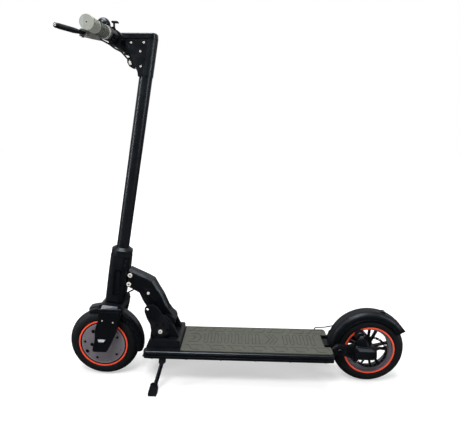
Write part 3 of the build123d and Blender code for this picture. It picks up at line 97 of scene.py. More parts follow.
class Shade:
    """A small builder for a principled material and the nodes that feed it."""

    def __init__(self, name, color, rough, metal=0.0, **sockets):
        self.material = bpy.data.materials.new(name)
        self.material.use_nodes = True
        self.tree = self.material.node_tree
        self.shader = self.tree.nodes["Principled BSDF"]
        self.shader.inputs["Base Color"].default_value = (*color, 1)
        self.shader.inputs["Roughness"].default_value = rough
        self.shader.inputs["Metallic"].default_value = metal
        if max(color) < DARK:
            self.shader.inputs["Specular Tint"].default_value = COOL
        for key, value in sockets.items():
            self.shader.inputs[key.replace("_", " ")].default_value = value
        self.color = color
        self.rough = rough
        self.height = None
        self.place = self.node("ShaderNodeTexCoord").outputs["Object"]

    def node(self, kind, **values):
        made = self.tree.nodes.new(kind)
        for key, value in values.items():
            setattr(made, key, value)
        return made

    def link(self, source, target):
        self.tree.links.new(source, target)

    def math(self, operation, a, b=None, clamp=False):
        made = self.node("ShaderNodeMath", operation=operation, use_clamp=clamp)
        for slot, value in enumerate((a, b)):
            if value is None:
                continue
            if isinstance(value, (int, float)):
                made.inputs[slot].default_value = value
            else:
                self.link(value, made.inputs[slot])
        return made.outputs[0]

    def noise(self, scale, detail=3.0, rough=0.5, stretch=None):
        made = self.node("ShaderNodeTexNoise")
        made.inputs["Scale"].default_value = scale
        made.inputs["Detail"].default_value = detail
        made.inputs["Roughness"].default_value = rough
        if stretch:
            mapping = self.node("ShaderNodeMapping")
            mapping.inputs["Scale"].default_value = stretch
            self.link(self.place, mapping.inputs["Vector"])
            self.link(mapping.outputs[0], made.inputs["Vector"])
        else:
            self.link(self.place, made.inputs["Vector"])
        return made.outputs["Fac"]

    def ramp(self, source, low, high, start=0.0, end=1.0):
        made = self.node("ShaderNodeMapRange")
        made.inputs["From Min"].default_value = start
        made.inputs["From Max"].default_value = end
        made.inputs["To Min"].default_value = low
        made.inputs["To Max"].default_value = high
        self.link(source, made.inputs["Value"])
        return made.outputs["Result"]

    def tint(self, fac, other):
        """Mixes the base colour towards another where fac is 1."""
        made = self.node("ShaderNodeMix", data_type="RGBA")
        link = self.shader.inputs["Base Color"].links
        if link:
            self.link(link[0].from_socket, made.inputs[MIX_FIRST])
        else:
            made.inputs[MIX_FIRST].default_value = (*self.color, 1)
        made.inputs[MIX_SECOND].default_value = (*other, 1)
        self.link(fac, made.inputs[0])
        self.link(made.outputs[MIX_COLOR], self.shader.inputs["Base Color"])

    def wear_edges(self, other, low=0.54, high=0.62, share=0.6):
        """Paints rubbed edges, found by the bend of the surface."""
        bend = self.node("ShaderNodeNewGeometry").outputs["Pointiness"]
        rubbed = self.math("MULTIPLY", self.ramp(bend, 0, share, low, high), self.noise(90, 4, 0.6))
        self.tint(rubbed, other)

    def radius_about(self, x, z):
        """Distance from a wheel's axis, in metres."""
        parts = self.node("ShaderNodeSeparateXYZ")
        self.link(self.place, parts.inputs[0])
        across = self.math("SUBTRACT", parts.outputs[0], x)
        above = self.math("SUBTRACT", parts.outputs[2], z)
        squares = self.math("ADD", self.math("MULTIPLY", across, across), self.math("MULTIPLY", above, above))
        return self.math("SQRT", squares)

    def roughen(self, source, low, high, start=0.3, end=0.7):
        self.link(self.ramp(source, low, high, start, end), self.shader.inputs["Roughness"])

    def bump(self, source, strength, distance):
        made = self.node("ShaderNodeBump")
        made.inputs["Strength"].default_value = strength
        made.inputs["Distance"].default_value = distance
        self.link(source, made.inputs["Height"])
        if self.height is not None:
            self.link(self.height, made.inputs["Normal"])
        self.height = made.outputs["Normal"]
        self.link(self.height, self.shader.inputs["Normal"])


def paler(color, factor, lift=0.0):
    """A colour scaled and lifted, for the marks on a surface."""
    return tuple(channel * factor + lift for channel in color)


def powder_coat(name, color, rough=0.36, metal=0.0, grain=1400, depth=0.1, edge=True, **sockets):
    """Satin paint with a fine orange-peel grain, light handling marks and rubbed edges."""
    shade = Shade(name, color, rough, metal, **sockets)
    shade.tint(shade.ramp(shade.noise(9, 4), 0, 0.5, 0.4, 0.75), paler(color, 1.6, 0.001))
    if edge:
        shade.wear_edges(paler(color, 2.6, 0.012))
    shade.roughen(shade.noise(35, 5, 0.6), rough - 0.05, rough + 0.09)
    shade.bump(shade.noise(grain, 2), depth, 0.0006)
    return shade


def moulded(name, color, rough=0.5, grain=2200, depth=0.16, **sockets):
    """Moulded plastic with a fine leathery grain."""
    shade = Shade(name, color, rough, 0.0, **sockets)
    shade.tint(shade.ramp(shade.noise(14, 4), 0, 0.4, 0.45, 0.8), paler(color, 1.5, 0.001))
    shade.roughen(shade.noise(60, 4), rough - 0.04, rough + 0.08)
    shade.bump(shade.noise(grain, 3, 0.6), depth, 0.0005)
    return shade


def brushed(name, color, rough=0.3, stretch=(1, 1, 40)):
    """Bare metal with fine turned or brushed lines."""
    shade = Shade(name, color, rough, 1.0)
    lines = shade.noise(160, 4, 0.6, stretch)
    shade.tint(shade.ramp(lines, 0, 0.5, 0.35, 0.8), paler(color, 0.72))
    shade.roughen(lines, rough - 0.07, rough + 0.1)
    shade.bump(lines, 0.12, 0.0003)
    return shade


def rubber(name, color, rough=0.72, grain=1800, depth=0.2):
    """Matt rubber, slightly dusty."""
    shade = Shade(name, color, rough, 0.0)
    shade.tint(shade.ramp(shade.noise(22, 5, 0.6), 0, 0.45, 0.4, 0.8), paler(color, 1.35, 0.002))
    shade.roughen(shade.noise(80, 4), rough - 0.06, rough + 0.1)
    shade.bump(shade.noise(grain, 3), depth, 0.0005)
    return shade


BLACK = (0.0014, 0.0018, 0.0030)
GLOSS = (0.0026, 0.0029, 0.0042)
RIM_PAINTED_LIGHT_FROM = 0.0715  # metres from the wheel's axis, where the rim's black ends and the painted light on its inner barrel begins
# painted light: a grey that stands in for light falling on the rear rim's inner barrel
RIM_PAINTED_LIGHT_GREY = (0.15, 0.135, 0.155)
# the rear rim's black, painted grey outside that radius as painted light, as if its inner barrel were lit
rim_shade = powder_coat("rim_black", BLACK, 0.4)
rim_radius = rim_shade.radius_about(REAR * MM, AXLE * MM)
rim_shade.tint(rim_shade.ramp(rim_radius, 0, 1, RIM_PAINTED_LIGHT_FROM, RIM_PAINTED_LIGHT_FROM + 0.0007), RIM_PAINTED_LIGHT_GREY)
looks = {
    "tyre_rubber": rubber("tyre_rubber", (0.0022, 0.0022, 0.0026), 0.66),
    "black_alloy": powder_coat("black_alloy", BLACK, 0.33, Specular_IOR_Level=0.44),
    "black_plastic": moulded("black_plastic", (0.0014, 0.0017, 0.0028), 0.4, Specular_IOR_Level=0.34),
    "gloss_black": moulded("gloss_black", GLOSS, 0.28, depth=0.06, Specular_IOR_Level=0.42),
    "hub_grey": powder_coat("hub_grey", (0.126, 0.114, 0.130), 0.44, grain=900, depth=0.2),
    "rim_black": rim_shade,
    "orange_ring": powder_coat("orange_ring", (0.9, 0.072, 0.022), 0.45, edge=False),
    "bare_alloy": brushed("bare_alloy", (0.6, 0.6, 0.6), 0.3),
    "steel": brushed("steel", (0.5, 0.5, 0.49), 0.32),
    "dark_steel": brushed("dark_steel", (0.045, 0.045, 0.05), 0.36),
    "stainless": brushed("stainless", (0.78, 0.77, 0.72), 0.34),
    "grip_rubber": rubber("grip_rubber", (0.30, 0.315, 0.275), 0.6),
    "mat_rubber": rubber("mat_rubber", (0.070, 0.074, 0.060), 0.8),
    # painted shade: a darker rubber for the lines pressed into the mat
    "mat_groove": rubber("mat_groove", (0.014, 0.016, 0.012), 0.85),
    "cable_black": rubber("cable_black", (0.006, 0.006, 0.007), 0.5),
    "lamp_lens": powder_coat("lamp_lens", (0.75, 0.78, 0.8), 0.12, edge=False),
    "tail_lens": moulded("tail_lens", (0.25, 0.008, 0.008), 0.15, depth=0.05),
    "battery_case": moulded("battery_case", (0.03, 0.05, 0.09), 0.5),
    "screen_glass": moulded("screen_glass", (0.003, 0.003, 0.004), 0.08, depth=0.0),
    "off_white": powder_coat("off_white", (0.62, 0.61, 0.55), 0.42, edge=False),
    "grip_end": rubber("grip_end", (0.36, 0.38, 0.37), 0.6),
    "grey_alloy": powder_coat("grey_alloy", (0.10, 0.103, 0.10), 0.38, 0.5),
    # painted highlight: a paler bluish grey for facets that should show reflected light
    "painted_sheen_grey": powder_coat("painted_sheen_grey", (0.048, 0.053, 0.065), 0.34, edge=False),
    # painted reflection: a pale grey for plates that stand in for light mirrored by a facet
    "painted_reflection_light": powder_coat("painted_reflection_light", (0.52, 0.53, 0.56), 0.3, edge=False),
    "screen_mark": moulded("screen_mark", (0.10, 0.12, 0.14), 0.4, depth=0.0),
    # painted highlight: a slightly paler, bluer black for strips that stand in for light lines along the deck
    "deck_painted_highlight": powder_coat("deck_painted_highlight", (0.005, 0.006, 0.009), 0.36, edge=False),
    "socket_dark": rubber("socket_dark", (0.012, 0.012, 0.012), 0.6),
    # matt black with little gloss: for screw heads, and as painted shade for holes
    "screw_black_and_hole_shade": Shade("screw_black_and_hole_shade", (0.0012, 0.0012, 0.0014), 0.6, Specular_IOR_Level=0.15),
    # painted shade: a dark grey for the grooves between the grip's rings
    "grip_groove_shade": rubber("grip_groove_shade", (0.050, 0.054, 0.046), 0.8),
}
looks = {name: shade.material for name, shade in looks.items()}

slots = {entry["node"]: entry["material_slot"] for entry in frame["record"]["subparts"]}
for name, obj in nodes.items():
    obj.data.materials.clear()
    # the rear rim takes the black with the painted light on its inner barrel
    obj.data.materials.append(looks["rim_black" if name == "rear_rim" else slots[name]])


# ---------------------------------------------------------------- mesh tools
MITRE_LIMIT = 0.35  # keeps the corners of a band from growing long


class Form:
    """Gathers closed solids, given in a local frame, into one object."""

    def __init__(self, matrix=ROW):
        self.mesh = bmesh.new()
        self.matrix = matrix

    def add(self, points, faces, matrix=None):
        """One closed solid from its points and faces."""
        made = [self.mesh.verts.new((matrix or self.matrix) @ Vector(p)) for p in points]
        new = [self.mesh.faces.new([made[i] for i in face]) for face in faces]
        bmesh.ops.recalc_face_normals(self.mesh, faces=new)

    def slab(self, outline, low, high, matrix=None):
        """A flat outline from one height to another."""
        count = len(outline)
        points = [(*p, low) for p in outline] + [(*p, high) for p in outline]
        faces = [list(range(count)), list(range(count, 2 * count))]
        faces += [(i, (i + 1) % count, count + (i + 1) % count, count + i) for i in range(count)]
        self.add(points, faces, matrix)

    def lathe(self, centre, profile, sides=32, matrix=None, shape=None):
        """A profile of (radius, height) turned about the third direction at a centre."""
        points, faces, rings = [], [], []
        for index, (radius, height) in enumerate(profile):
            if radius == 0:
                rings.append([len(points)])
                points.append((centre[0], centre[1], height))
                continue
            rings.append(list(range(len(points), len(points) + sides)))
            for step in range(sides):
                angle = 2 * math.pi * step / sides
                reach = radius * (shape(index, angle) if shape else 1)
                across, above = reach * math.cos(angle), reach * math.sin(angle)
                points.append((centre[0] + across, centre[1] + above, height))
        closed = len(rings[0]) > 1
        pairs = list(zip(rings, rings[1:] + rings[:1] if closed else rings[1:]))
        for first, second in pairs:
            for step in range(sides):
                after = (step + 1) % sides
                corners = [first[step % len(first)], first[after % len(first)]]
                corners += [second[after % len(second)], second[step % len(second)]]
                face = list(dict.fromkeys(corners))
                if len(face) > 2:
                    faces.append(face)
        self.add(points, faces, matrix)

    def screw(self, centre, low, high, radius, socket=0.5):
        """A button-head screw with a hexagonal socket, its head towards high."""
        way = 1 if high > low else -1
        rise = abs(high - low)
        hexagon = socket * radius

        def shape(index, angle):
            if index < 4:
                return 1
            turned = math.fmod(angle, math.pi / 3) - math.pi / 6
            return math.cos(math.pi / 6) / math.cos(turned)

        profile = [
            (0, low), (radius, low), (radius, high - way * rise * 0.45), (radius * 0.84, high),
            (hexagon, high), (hexagon, high - way * rise * 0.62), (0, high - way * rise * 0.62),
        ]
        self.lathe(centre, profile, 24, shape=shape)

    def band(self, points, width, low, high):
        """A flat strip of one width along a line of (first, second) points."""
        spots = [Vector(p) for p in points]
        count = len(spots)
        inner, outer = [], []
        for i, spot in enumerate(spots):
            steps = []
            if i > 0:
                steps.append((spot - spots[i - 1]).normalized())
            if i < count - 1:
                steps.append((spots[i + 1] - spot).normalized())
            along = sum(steps, Vector((0, 0))).normalized()
            square = Vector((-along.y, along.x))
            reach = width / 2 / max(MITRE_LIMIT, square.dot(Vector((-steps[0].y, steps[0].x))))
            inner.append(spot - square * reach)
            outer.append(spot + square * reach)
        points = []
        for near, far in zip(inner, outer):
            points += [(*near, low), (*far, low), (*far, high), (*near, high)]
        faces = [(0, 1, 2, 3), tuple(4 * count - k for k in (4, 3, 2, 1))]
        for i in range(0, 4 * (count - 1), 4):
            for k in range(4):
                faces.append((i + k, i + 4 + k, i + 4 + (k + 1) % 4, i + (k + 1) % 4))
        self.add(points, faces)

    def finish(self, name, body, look, bevel=0.0, angle=35, smooth=True, replace=()):
        """Turns the gathered solids into a piece that rides on a body."""
        data = bpy.data.meshes.new(name)
        self.mesh.to_mesh(data)
        self.mesh.free()
        obj = bpy.data.objects.new(name, data)
        scene.collection.objects.link(obj)
        data.materials.append(looks[look])
        if bevel:
            trim = obj.modifiers.new("bevel", "BEVEL")
            trim.width = bevel * MM
            trim.segments = 2
            trim.limit_method = "ANGLE"
            trim.angle_limit = math.radians(angle)
            trim.harden_normals = False
        if smooth:
            data.shade_smooth()
            data.set_sharp_from_angle(angle=math.radians(angle))
        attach(obj, body)
        if replace:
            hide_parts(*replace)


# ---------------------------------------------------------------- tyres with a tread
TREAD_STEPS, TREAD_POINTS = 312, 46  # round the tyre and across it
TREAD_SPREAD = 119  # degrees each way from the tread's middle to the beads
TREAD_MIDDLE, TREAD_CROWN, TREAD_HALF = 101, 26, 27
BEAD, BEAD_HALF, TYRE_WALL = 88, 21, 5
GROOVE_AT, GROOVE_WIDTH, GROOVE_DEPTH = 25, 3.4, 1.5
CUT_PITCH, CUT_SLANT = 12, 5.2  # steps between cuts, and degrees across for one step round
CUT_START, CUT_STOP, CUT_DEPTH = 28.6, 62, 1.3
MIDDLE_REACH, MIDDLE_DEPTH = 15, 0.9


def tread_cut(step, turn):
    """How deep the tread is cut at a step round the tyre and a turn, in degrees, across it."""
    if abs(abs(turn) - GROOVE_AT) < GROOVE_WIDTH:
        return GROOVE_DEPTH
    slant = int(abs(turn) // CUT_SLANT) + (0 if turn > 0 else CUT_PITCH // 2)
    if CUT_START < abs(turn) < CUT_STOP and (step + slant) % CUT_PITCH < 2:
        return CUT_DEPTH
    slant = 2 * int((turn + MIDDLE_REACH) // CUT_SLANT)
    if abs(turn) < MIDDLE_REACH and (step + slant) % CUT_PITCH < 1:
        return MIDDLE_DEPTH
    return 0.0


def tyre(name, body, wheel, node):
    """A road tyre: two round grooves, a middle line and short slanted cuts over the shoulders."""
    turns = [-TREAD_SPREAD + 2 * TREAD_SPREAD * k / TREAD_POINTS for k in range(TREAD_POINTS + 1)]
    hollow = TREAD_MIDDLE + 20
    inner = [(BEAD, BEAD_HALF), (BEAD + TYRE_WALL, BEAD_HALF - 0.4), (TREAD_MIDDLE, BEAD_HALF), (hollow, 8)]
    inner += [(radius, -across) for radius, across in reversed(inner)]
    count = len(turns) + len(inner)
    points, faces = [], []
    for step in range(TREAD_STEPS):
        angle = 2 * math.pi * step / TREAD_STEPS
        ring = []
        for turn in turns:
            reach = TREAD_MIDDLE + TREAD_CROWN * math.cos(math.radians(turn))
            ring.append((max(reach, BEAD) - tread_cut(step, turn), TREAD_HALF * math.sin(math.radians(turn))))
        points += [(r * math.cos(angle), r * math.sin(angle), across) for r, across in ring + inner]
        after = (step + 1) % TREAD_STEPS
        for k in range(count):
            j = (k + 1) % count
            faces.append((step * count + k, after * count + k, after * count + j, step * count + j))
    form = Form(wheel)
    form.add(points, faces)
    for hand in HANDS:
        for radius in (95.5, 108.5):
            wall = hand * TREAD_HALF * math.sqrt(1 - ((radius - TREAD_MIDDLE) / TREAD_CROWN) ** 2)
            low, high = wall - hand * 1.0, wall + hand * 0.45
            ring = [(radius - 0.9, low), (radius - 0.5, high), (radius + 0.5, high), (radius + 0.9, low)]
            form.lathe((0, 0), ring, 96)
    form.finish(name, body, "tyre_rubber", angle=28, replace=[node])


tyre("front_tread", "front_wheel", FRONT_WHEEL, "front_tyre")
tyre("rear_tread", "rear_wheel", REAR_WHEEL, "rear_tyre")


def valve(name, body, wheel, angle):
    """A tyre valve with its cap, standing in from the rim."""
    turned = wheel @ Matrix.Rotation(angle, 4, "Z") @ Matrix.Rotation(-math.pi / 2, 4, "Y")
    stem = [(0, -87), (2.6, -87), (2.6, -77), (2.1, -76), (2.1, -72)]
    cap = [(2.7, -71.6), (2.7, -65.4), (2.2, -65), (0, -65)]
    form = Form(turned)
    form.lathe((0, 0), stem + cap, 16)
    form.finish(name, body, "cable_black", angle=40)


valve("front_valve", "front_wheel", FRONT_WHEEL, math.radians(262))
valve("rear_valve", "rear_wheel", REAR_WHEEL, math.radians(300))

# ---------------------------------------------------------------- front wheel and fork
# black caps on the motor cover: the small ones are screw heads, the large ones are painted shade for its dark
# holes
hub_caps_and_hole_shades = Form(FRONT_WHEEL)
small = ((66, 7), (24, -55), (-48, -41), (-53, 26))
large = ((60, -31), (34, 48), (40, -3))
for spot, radius in [(spot, 4.4) for spot in small] + [(spot, 6.6) for spot in large]:
    face = HUB_FACE + (HUB_RIM - math.hypot(*spot)) / HUB_SLOPE * HUB_DOME
    side = [(0, face - 2), (radius, face - 2), (radius, face + 0.7)]
    hub_caps_and_hole_shades.lathe(spot, side + [(radius * 0.86, face + 1.2), (0, face + 1.3)], 24)
hub_caps_and_hole_shades.finish("hub_cover_caps_and_hole_shades", "front_wheel", "screw_black_and_hole_shade", angle=30)
hub_rings = Form(FRONT_WHEEL)
hub_rings.lathe((0, 0), [(74.6, 25.0), (74.6, 26.35), (76.2, 26.25), (76.2, 25.0)], 120)
hub_rings.lathe((0, 0), [(30.5, 28.9), (30.5, 29.9), (33.0, 29.75), (33.0, 28.9)], 90)
hub_rings.finish("hub_cover_lines", "front_wheel", "hub_grey")

fork_screws = Form(STEER)
for hand in HANDS:
    for spot in ((22, 108.8), (-16.5, 109.5)):
        fork_screws.screw(spot, hand * (COVER_FACE - 3), hand * (COVER_FACE + 0.5), 2.5, 0.4)
fork_screws.finish("fork_cover_screws", "steering", "off_white", angle=30)
# the crown's top facets, coloured as a painted highlight of the light falling on them
facets = Form(STEER)
for hand in HANDS:
    inside, outside = hand * 49.5, hand * 61.3
    rear = [(-24, 152.5, inside), (-24, 166.5, inside), (-24, 162.7, outside)]
    ahead = [(32, 151.5, inside), (32, 164.0, inside), (32, 152.5, outside)]
    facets.add(rear + ahead, [(0, 1, 2), (3, 4, 5), (0, 1, 4, 3), (1, 2, 5, 4), (2, 0, 3, 5)])
facets.finish("crown_facets", "steering", "painted_sheen_grey", bevel=0.4, smooth=False)
# pale plates on the fork covers: a painted reflection of a facet catching the light
reflection_plates = Form(STEER)
for hand in HANDS:
    reflection_plates.slab([(31, 33.5), (0.5, 38.5), (6.5, 26.5), (25.5, 23.0)], hand * 56.2, hand * 59.4)
reflection_plates.finish("cover_painted_reflections", "steering", "painted_reflection_light", bevel=0.5, smooth=False)
crown_trim = Form(STEER)
for hand in HANDS:
    crown_trim.band([(42.4, 139), (-38.8, 151.5)], 1.0, hand * (COVER_FACE - 0.8), hand * (COVER_FACE + 0.2))
    rear_edge = [(-30.5, 70), (-36.6, 124), (-38.4, 148)]
    crown_trim.band(rear_edge, 0.8, hand * (COVER_FACE - 0.4), hand * (COVER_FACE + 0.25))
crown_trim.finish("fork_cover_lines", "steering", "black_alloy", bevel=0.2)

# ---------------------------------------------------------------- head tube and neck
head_plugs = Form(STEER)
for hand in HANDS:
    for spot in ((-24.5, 331), (-22.5, 316)):
        head_plugs.screw(spot, hand * 24, hand * 31.4, 3.1, 0.55)
head_plugs.finish("head_tube_plugs", "neck", "socket_dark", angle=30)

neck_screws = Form(FRONT_SIDE)
for hand in HANDS:
    for spot in ((-108.52, 391.17), (-102.62, 357.69)):
        neck_screws.screw(spot, hand * ARM_HALF, hand * 25.0, 8.3, 0.42)
        rim = [(5.4, hand * 24.6), (5.4, hand * 25.3), (6.2, hand * 25.3), (6.2, hand * 24.6)]
        neck_screws.lathe(spot, rim, 24)
    neck_screws.screw((-171.0, 325.0), hand * ARM_HALF, hand * 23.6, 5.0, 0.45)
neck_screws.finish("neck_screw_heads", "neck", "off_white", angle=30, replace=["neck_bolts"])
neck_lines = Form(FRONT_SIDE)
for hand in HANDS:
    for line in (
        [(-126, 372), (-140, 352), (-160, 333), (-165, 329)],
        [(-140, 352), (-152, 341), (-170, 339), (-186, 346)],
        [(-178, 319), (-200, 296), (-216, 268)],
    ):
        neck_lines.band(line, 0.9, hand * (ARM_HALF + 0.2), hand * (ARM_HALF + 1.1))
neck_lines.finish("neck_arm_lines", "neck", "black_alloy", bevel=0.2)

pedal_heads = Form(FRONT_SIDE)
for hand in HANDS:
    pedal_heads.screw(PEDAL_PIVOT, hand * 46, hand * 54.6, 8, 0.45)
pedal_heads.lathe(PEDAL_PIVOT, [(0, -46), (6, -46), (6, 46), (0, 46)], 24)
pedal_heads.finish("pedal_pivot_bolt", "deck", "off_white", angle=30, replace=["pedal_bolt"])

# black discs filling the pedal's pockets flush: painted shade, so that the pockets read dark
pedal_pocket_shades = Form(FRONT_SIDE)
for hand in HANDS:
    pockets = ((11.5, 25, 3.8), (16, -16, 3.8), (-14, -18, 4.8), (-25, 6, 4.8), (-11, 28, 3.8))
    for ahead, above, radius in pockets:
        pocket_shade = [(0, hand * 46), (radius, hand * 46), (radius, hand * 51), (0, hand * 51)]
        pedal_pocket_shades.lathe((PEDAL_PIVOT[0] + ahead, PEDAL_PIVOT[1] + above), pocket_shade, 24)
pedal_pocket_shades.finish("pedal_pocket_shades", "fold_pedal", "screw_black_and_hole_shade", angle=40)

# ---------------------------------------------------------------- gooseneck
neck_heads = Form(STEER)
for hand in HANDS:
    for spot in ((54.9, 1043.3), (15.7, 1050.3), (22.7, 1022.7), (15.5, 978.3)):
        neck_heads.screw(spot, hand * GOOSENECK_HALF, hand * 24.0, 3.3, 0.5)
neck_heads.finish("gooseneck_screw_heads", "steering", "off_white", angle=30, replace=["gooseneck_screws"])
neck_border = Form(STEER)
for hand in HANDS:
    low = hand * (GOOSENECK_HALF + 0.6)
    neck_border.band([(70, 1046.5), (3.5, 1059), (3.5, 960)], 1.0, low, hand * (GOOSENECK_HALF + 1.8))
    neck_border.band([(66, 1034), (56, 1022), (38, 994), (27, 970)], 0.9, low, hand * (GOOSENECK_HALF + 1.5))
neck_border.finish("gooseneck_lines", "steering", "black_alloy", bevel=0.25)


# ---------------------------------------------------------------- handlebar, grips, lever and bell
def bar_frame(hand, distance):
    """A frame on the bar: its third direction runs outward."""
    share = max(0, distance - BAR_FLAT) / BAR_SLOPE
    place = Vector((BAR_AHEAD + BAR_ADVANCE * share, BAR_UP - BAR_DROP * share, hand * distance))
    outward = (AHEAD * BAR_ADVANCE - UP * BAR_DROP + LEFT * hand * BAR_SLOPE).normalized()
    return local_frame(AHEAD, outward.cross(AHEAD), outward, STEER @ place / MM)


grip_ends = Form()
grip_knurl = Form()
grip_groove_shade_rings = Form()
grip_hole_shades = Form()
RING_COUNT, RING_PITCH, RIB_COUNT = 15, 4.2, 34
for hand in HANDS:
    grip = bar_frame(hand, GRIP_START)
    disc = [(1.7, 123.0), (17.6, 123.0), (18.2, 123.5), (18.2, 124.2)]
    grip_ends.lathe((0, 0), disc + [(17.5, 124.7), (2.2, 124.7), (1.7, 124.2)], 48, grip)
    # a black disc filling the end hole flush: painted shade for the hole
    grip_hole_shades.lathe((0, 0), [(0, 123.5), (1.7, 123.5), (1.7, 124.8), (0, 124.8)], 20, grip)
    for ring in range(RING_COUNT):
        # rings painted dark as the shade in the grip's grooves
        start = 10 + RING_PITCH * ring
        groove = [(17.1, start), (18.1, start + 0.2), (18.1, start + 1.9), (17.1, start + 2.1)]
        grip_groove_shade_rings.lathe((0, 0), groove, 48, grip)
    for rib in range(RIB_COUNT):
        turned = grip @ Matrix.Rotation(2 * math.pi * rib / RIB_COUNT, 4, "Z")
        grip_knurl.slab([(17.0, -0.5), (18.0, -0.35), (18.0, 0.35), (17.0, 0.5)], 76, 119, turned)
grip_ends.finish("grip_end_discs", "steering", "grip_end")
grip_knurl.finish("grip_ribs", "steering", "grip_rubber")
grip_groove_shade_rings.finish("grip_groove_shade_rings", "steering", "grip_groove_shade")
grip_hole_shades.finish("grip_end_hole_shades", "steering", "screw_black_and_hole_shade", angle=30)

lever_out = LEVER_UP.cross(AHEAD).normalized()
lever_frame = local_frame(AHEAD, lever_out, LEVER_UP, LEVER_PIVOT)
lever_along = local_frame(LEVER_UP, AHEAD, lever_out, LEVER_PIVOT)
pivot_screw = Form(lever_frame)
for way in HANDS:
    pivot_screw.screw((0, 0), way * 9, way * 12.0, 4.6, 0.5)
pivot_screw.screw((-30, -16), 6, 10.6, 2.4, 0.5)
pivot_screw.finish("lever_pivot_screw", "steering", "steel", angle=30)

LEVER_TIP = (0, 29.5)
BALL, BALL_MIDDLE = 6.9, 100
dome = []
for degrees in range(0, 90, 15):
    turn = math.radians(degrees)
    dome.append((BALL * math.cos(turn), BALL_MIDDLE + BALL * math.sin(turn)))
lever_tip = Form(lever_along)
lever_tip.lathe(LEVER_TIP, [(0, 94.5), (5.6, 94.5), (6.5, 97)] + dome + [(0, BALL_MIDDLE + BALL)], 28)
lever_tip.finish("lever_ball_end", "brake_lever", "black_alloy", angle=60)
# an off-white ring at the tip of the ball end: a painted highlight
lever_highlight_ring = Form(lever_along)
lever_highlight_ring.lathe(LEVER_TIP, [(1.6, 105.4), (3.0, 105.2), (3.0, 106.5), (1.6, 107.1)], 24)
lever_highlight_ring.finish("lever_end_highlight", "brake_lever", "off_white", angle=60)

SLEEVE_SIDES = 20
sleeve_line = ((5, 26, 6.4), (10, 38, 7.4), (15.5, 54, 7.4), (21, 72, 7.4), (26, 88, 7.4), (29, 98, 6.4))
rings = []
for ahead, out, radius in sleeve_line:
    for step in range(SLEEVE_SIDES):
        angle = 2 * math.pi * step / SLEEVE_SIDES
        rings.append((ahead + radius * math.cos(angle), out, (radius - 0.1) * math.sin(angle)))
last = len(rings) - SLEEVE_SIDES
quads = [list(range(SLEEVE_SIDES)), list(range(last, len(rings)))]
for first in range(0, last, SLEEVE_SIDES):
    for step in range(SLEEVE_SIDES):
        here, after = first + step, first + (step + 1) % SLEEVE_SIDES
        quads.append((here, after, after + SLEEVE_SIDES, here + SLEEVE_SIDES))
sleeve = Form(lever_frame)
sleeve.add(rings, quads)
sleeve.finish("lever_sleeve", "brake_lever", "cable_black", angle=60)

guide_clip = Form(STEER)
guide_clip.slab([(45.5, 979), (52, 977), (57, 984), (55, 990.5), (49, 988)], 17.8, 19.0)
guide_clip.finish("cable_guide_clip", "steering", "off_white", bevel=0.3)

cable_end = local_frame(ROW_X, ROW_Z, -LEFT, CABLE_START)
adjuster = Form(cable_end)
adjuster.lathe((0, 0), [(0, -2), (4.9, -2), (4.9, 1.2), (4.2, 1.8), (4.2, 2.6), (0, 2.6)], 12)
adjuster.lathe((0, 0), [(0, 2.6), (3.5, 2.6), (3.5, 8.6), (3.1, 9.2), (0, 9.2)], 20)
adjuster.finish("cable_adjuster", "steering", "dark_steel", angle=30)

perch_clamp = Form()
perch_clamp.lathe((0, 0), [(19.2, 0), (20.0, 0.4), (20.0, 21.6), (19.2, 22)], 48, bar_frame(1, 112))
perch_clamp.finish("perch_sleeve", "steering", "gloss_black")

bell = Form(local_frame(ROW_X, LEFT, ROW_Z, BELL))
bell.lathe((0, 0), [(18.4, -0.6), (19.3, -0.4), (19.3, 1.3), (18.5, 1.7)], 64)
bell.lathe((0, 0), [(18.5, 3.2), (18.95, 3.4), (18.95, 4.0), (18.4, 4.2)], 64)
bell.finish("bell_rings", "steering", "gloss_black", angle=50)

# ---------------------------------------------------------------- display and lamp
def rounded(x_low, x_high, y_low, y_high, radius, steps=6):
    """A rectangle with round corners, as (x, y) points."""
    points = []
    corners = ((x_high - radius, y_high - radius, 0), (x_low + radius, y_high - radius, 90))
    corners += ((x_low + radius, y_low + radius, 180), (x_high - radius, y_low + radius, 270))
    for x, y, start in corners:
        for k in range(steps + 1):
            angle = math.radians(start + 90 * k / steps)
            points.append((x + radius * math.cos(angle), y + radius * math.sin(angle)))
    return points


def oblong(form, x, y, radius, low, high, steps=6):
    """A plate with round corners between pairs of x and of y."""
    form.slab(rounded(*x, *y, radius, steps), low, high)


screen = Form(ROW)
oblong(screen, (287.9, 353.1), (-16.6, 16.6), 3.6, DISPLAY_ROOF - 0.98, DISPLAY_ROOF - 0.2)
screen.finish("display_glass", "steering", "screen_glass", bevel=0.3)
marks = Form(ROW)
MARK_LOW, MARK_HIGH = DISPLAY_ROOF - 0.25, DISPLAY_ROOF - 0.12
for y in ((-11, -9.6), (9.6, 11)):
    for x in (300, 314):
        oblong(marks, (x, x + 11), y, 0.5, MARK_LOW, MARK_HIGH, 2)
for row in range(5):
    middle = 4 * row - 8
    oblong(marks, (330, 341), (middle - 1.2, middle + 1.2), 0.8, MARK_LOW, MARK_HIGH, 3)
for y in (-5.5, 1.5):
    for x, wide in ((300, 1.4), (323, 1.4), (311.3, 1.4)):
        marks.slab([(x, y), (x + wide, y), (x + wide, y + 5), (x, y + 5)], MARK_LOW, MARK_HIGH)
marks.finish("display_marks", "steering", "screen_mark")
button_ring = Form(ROW)
low, high = DISPLAY_ROOF - 0.4, DISPLAY_ROOF + 0.5
button_ring.lathe((272.52, 0), [(6.5, low), (7.6, low), (7.6, high), (6.5, high)], 40)
button_ring.finish("button_ring", "steering", "bare_alloy", bevel=0.15)
lamp_cells = Form(local_frame(LEFT, ROW_Z, ROW_X, (0, 0, 0)))
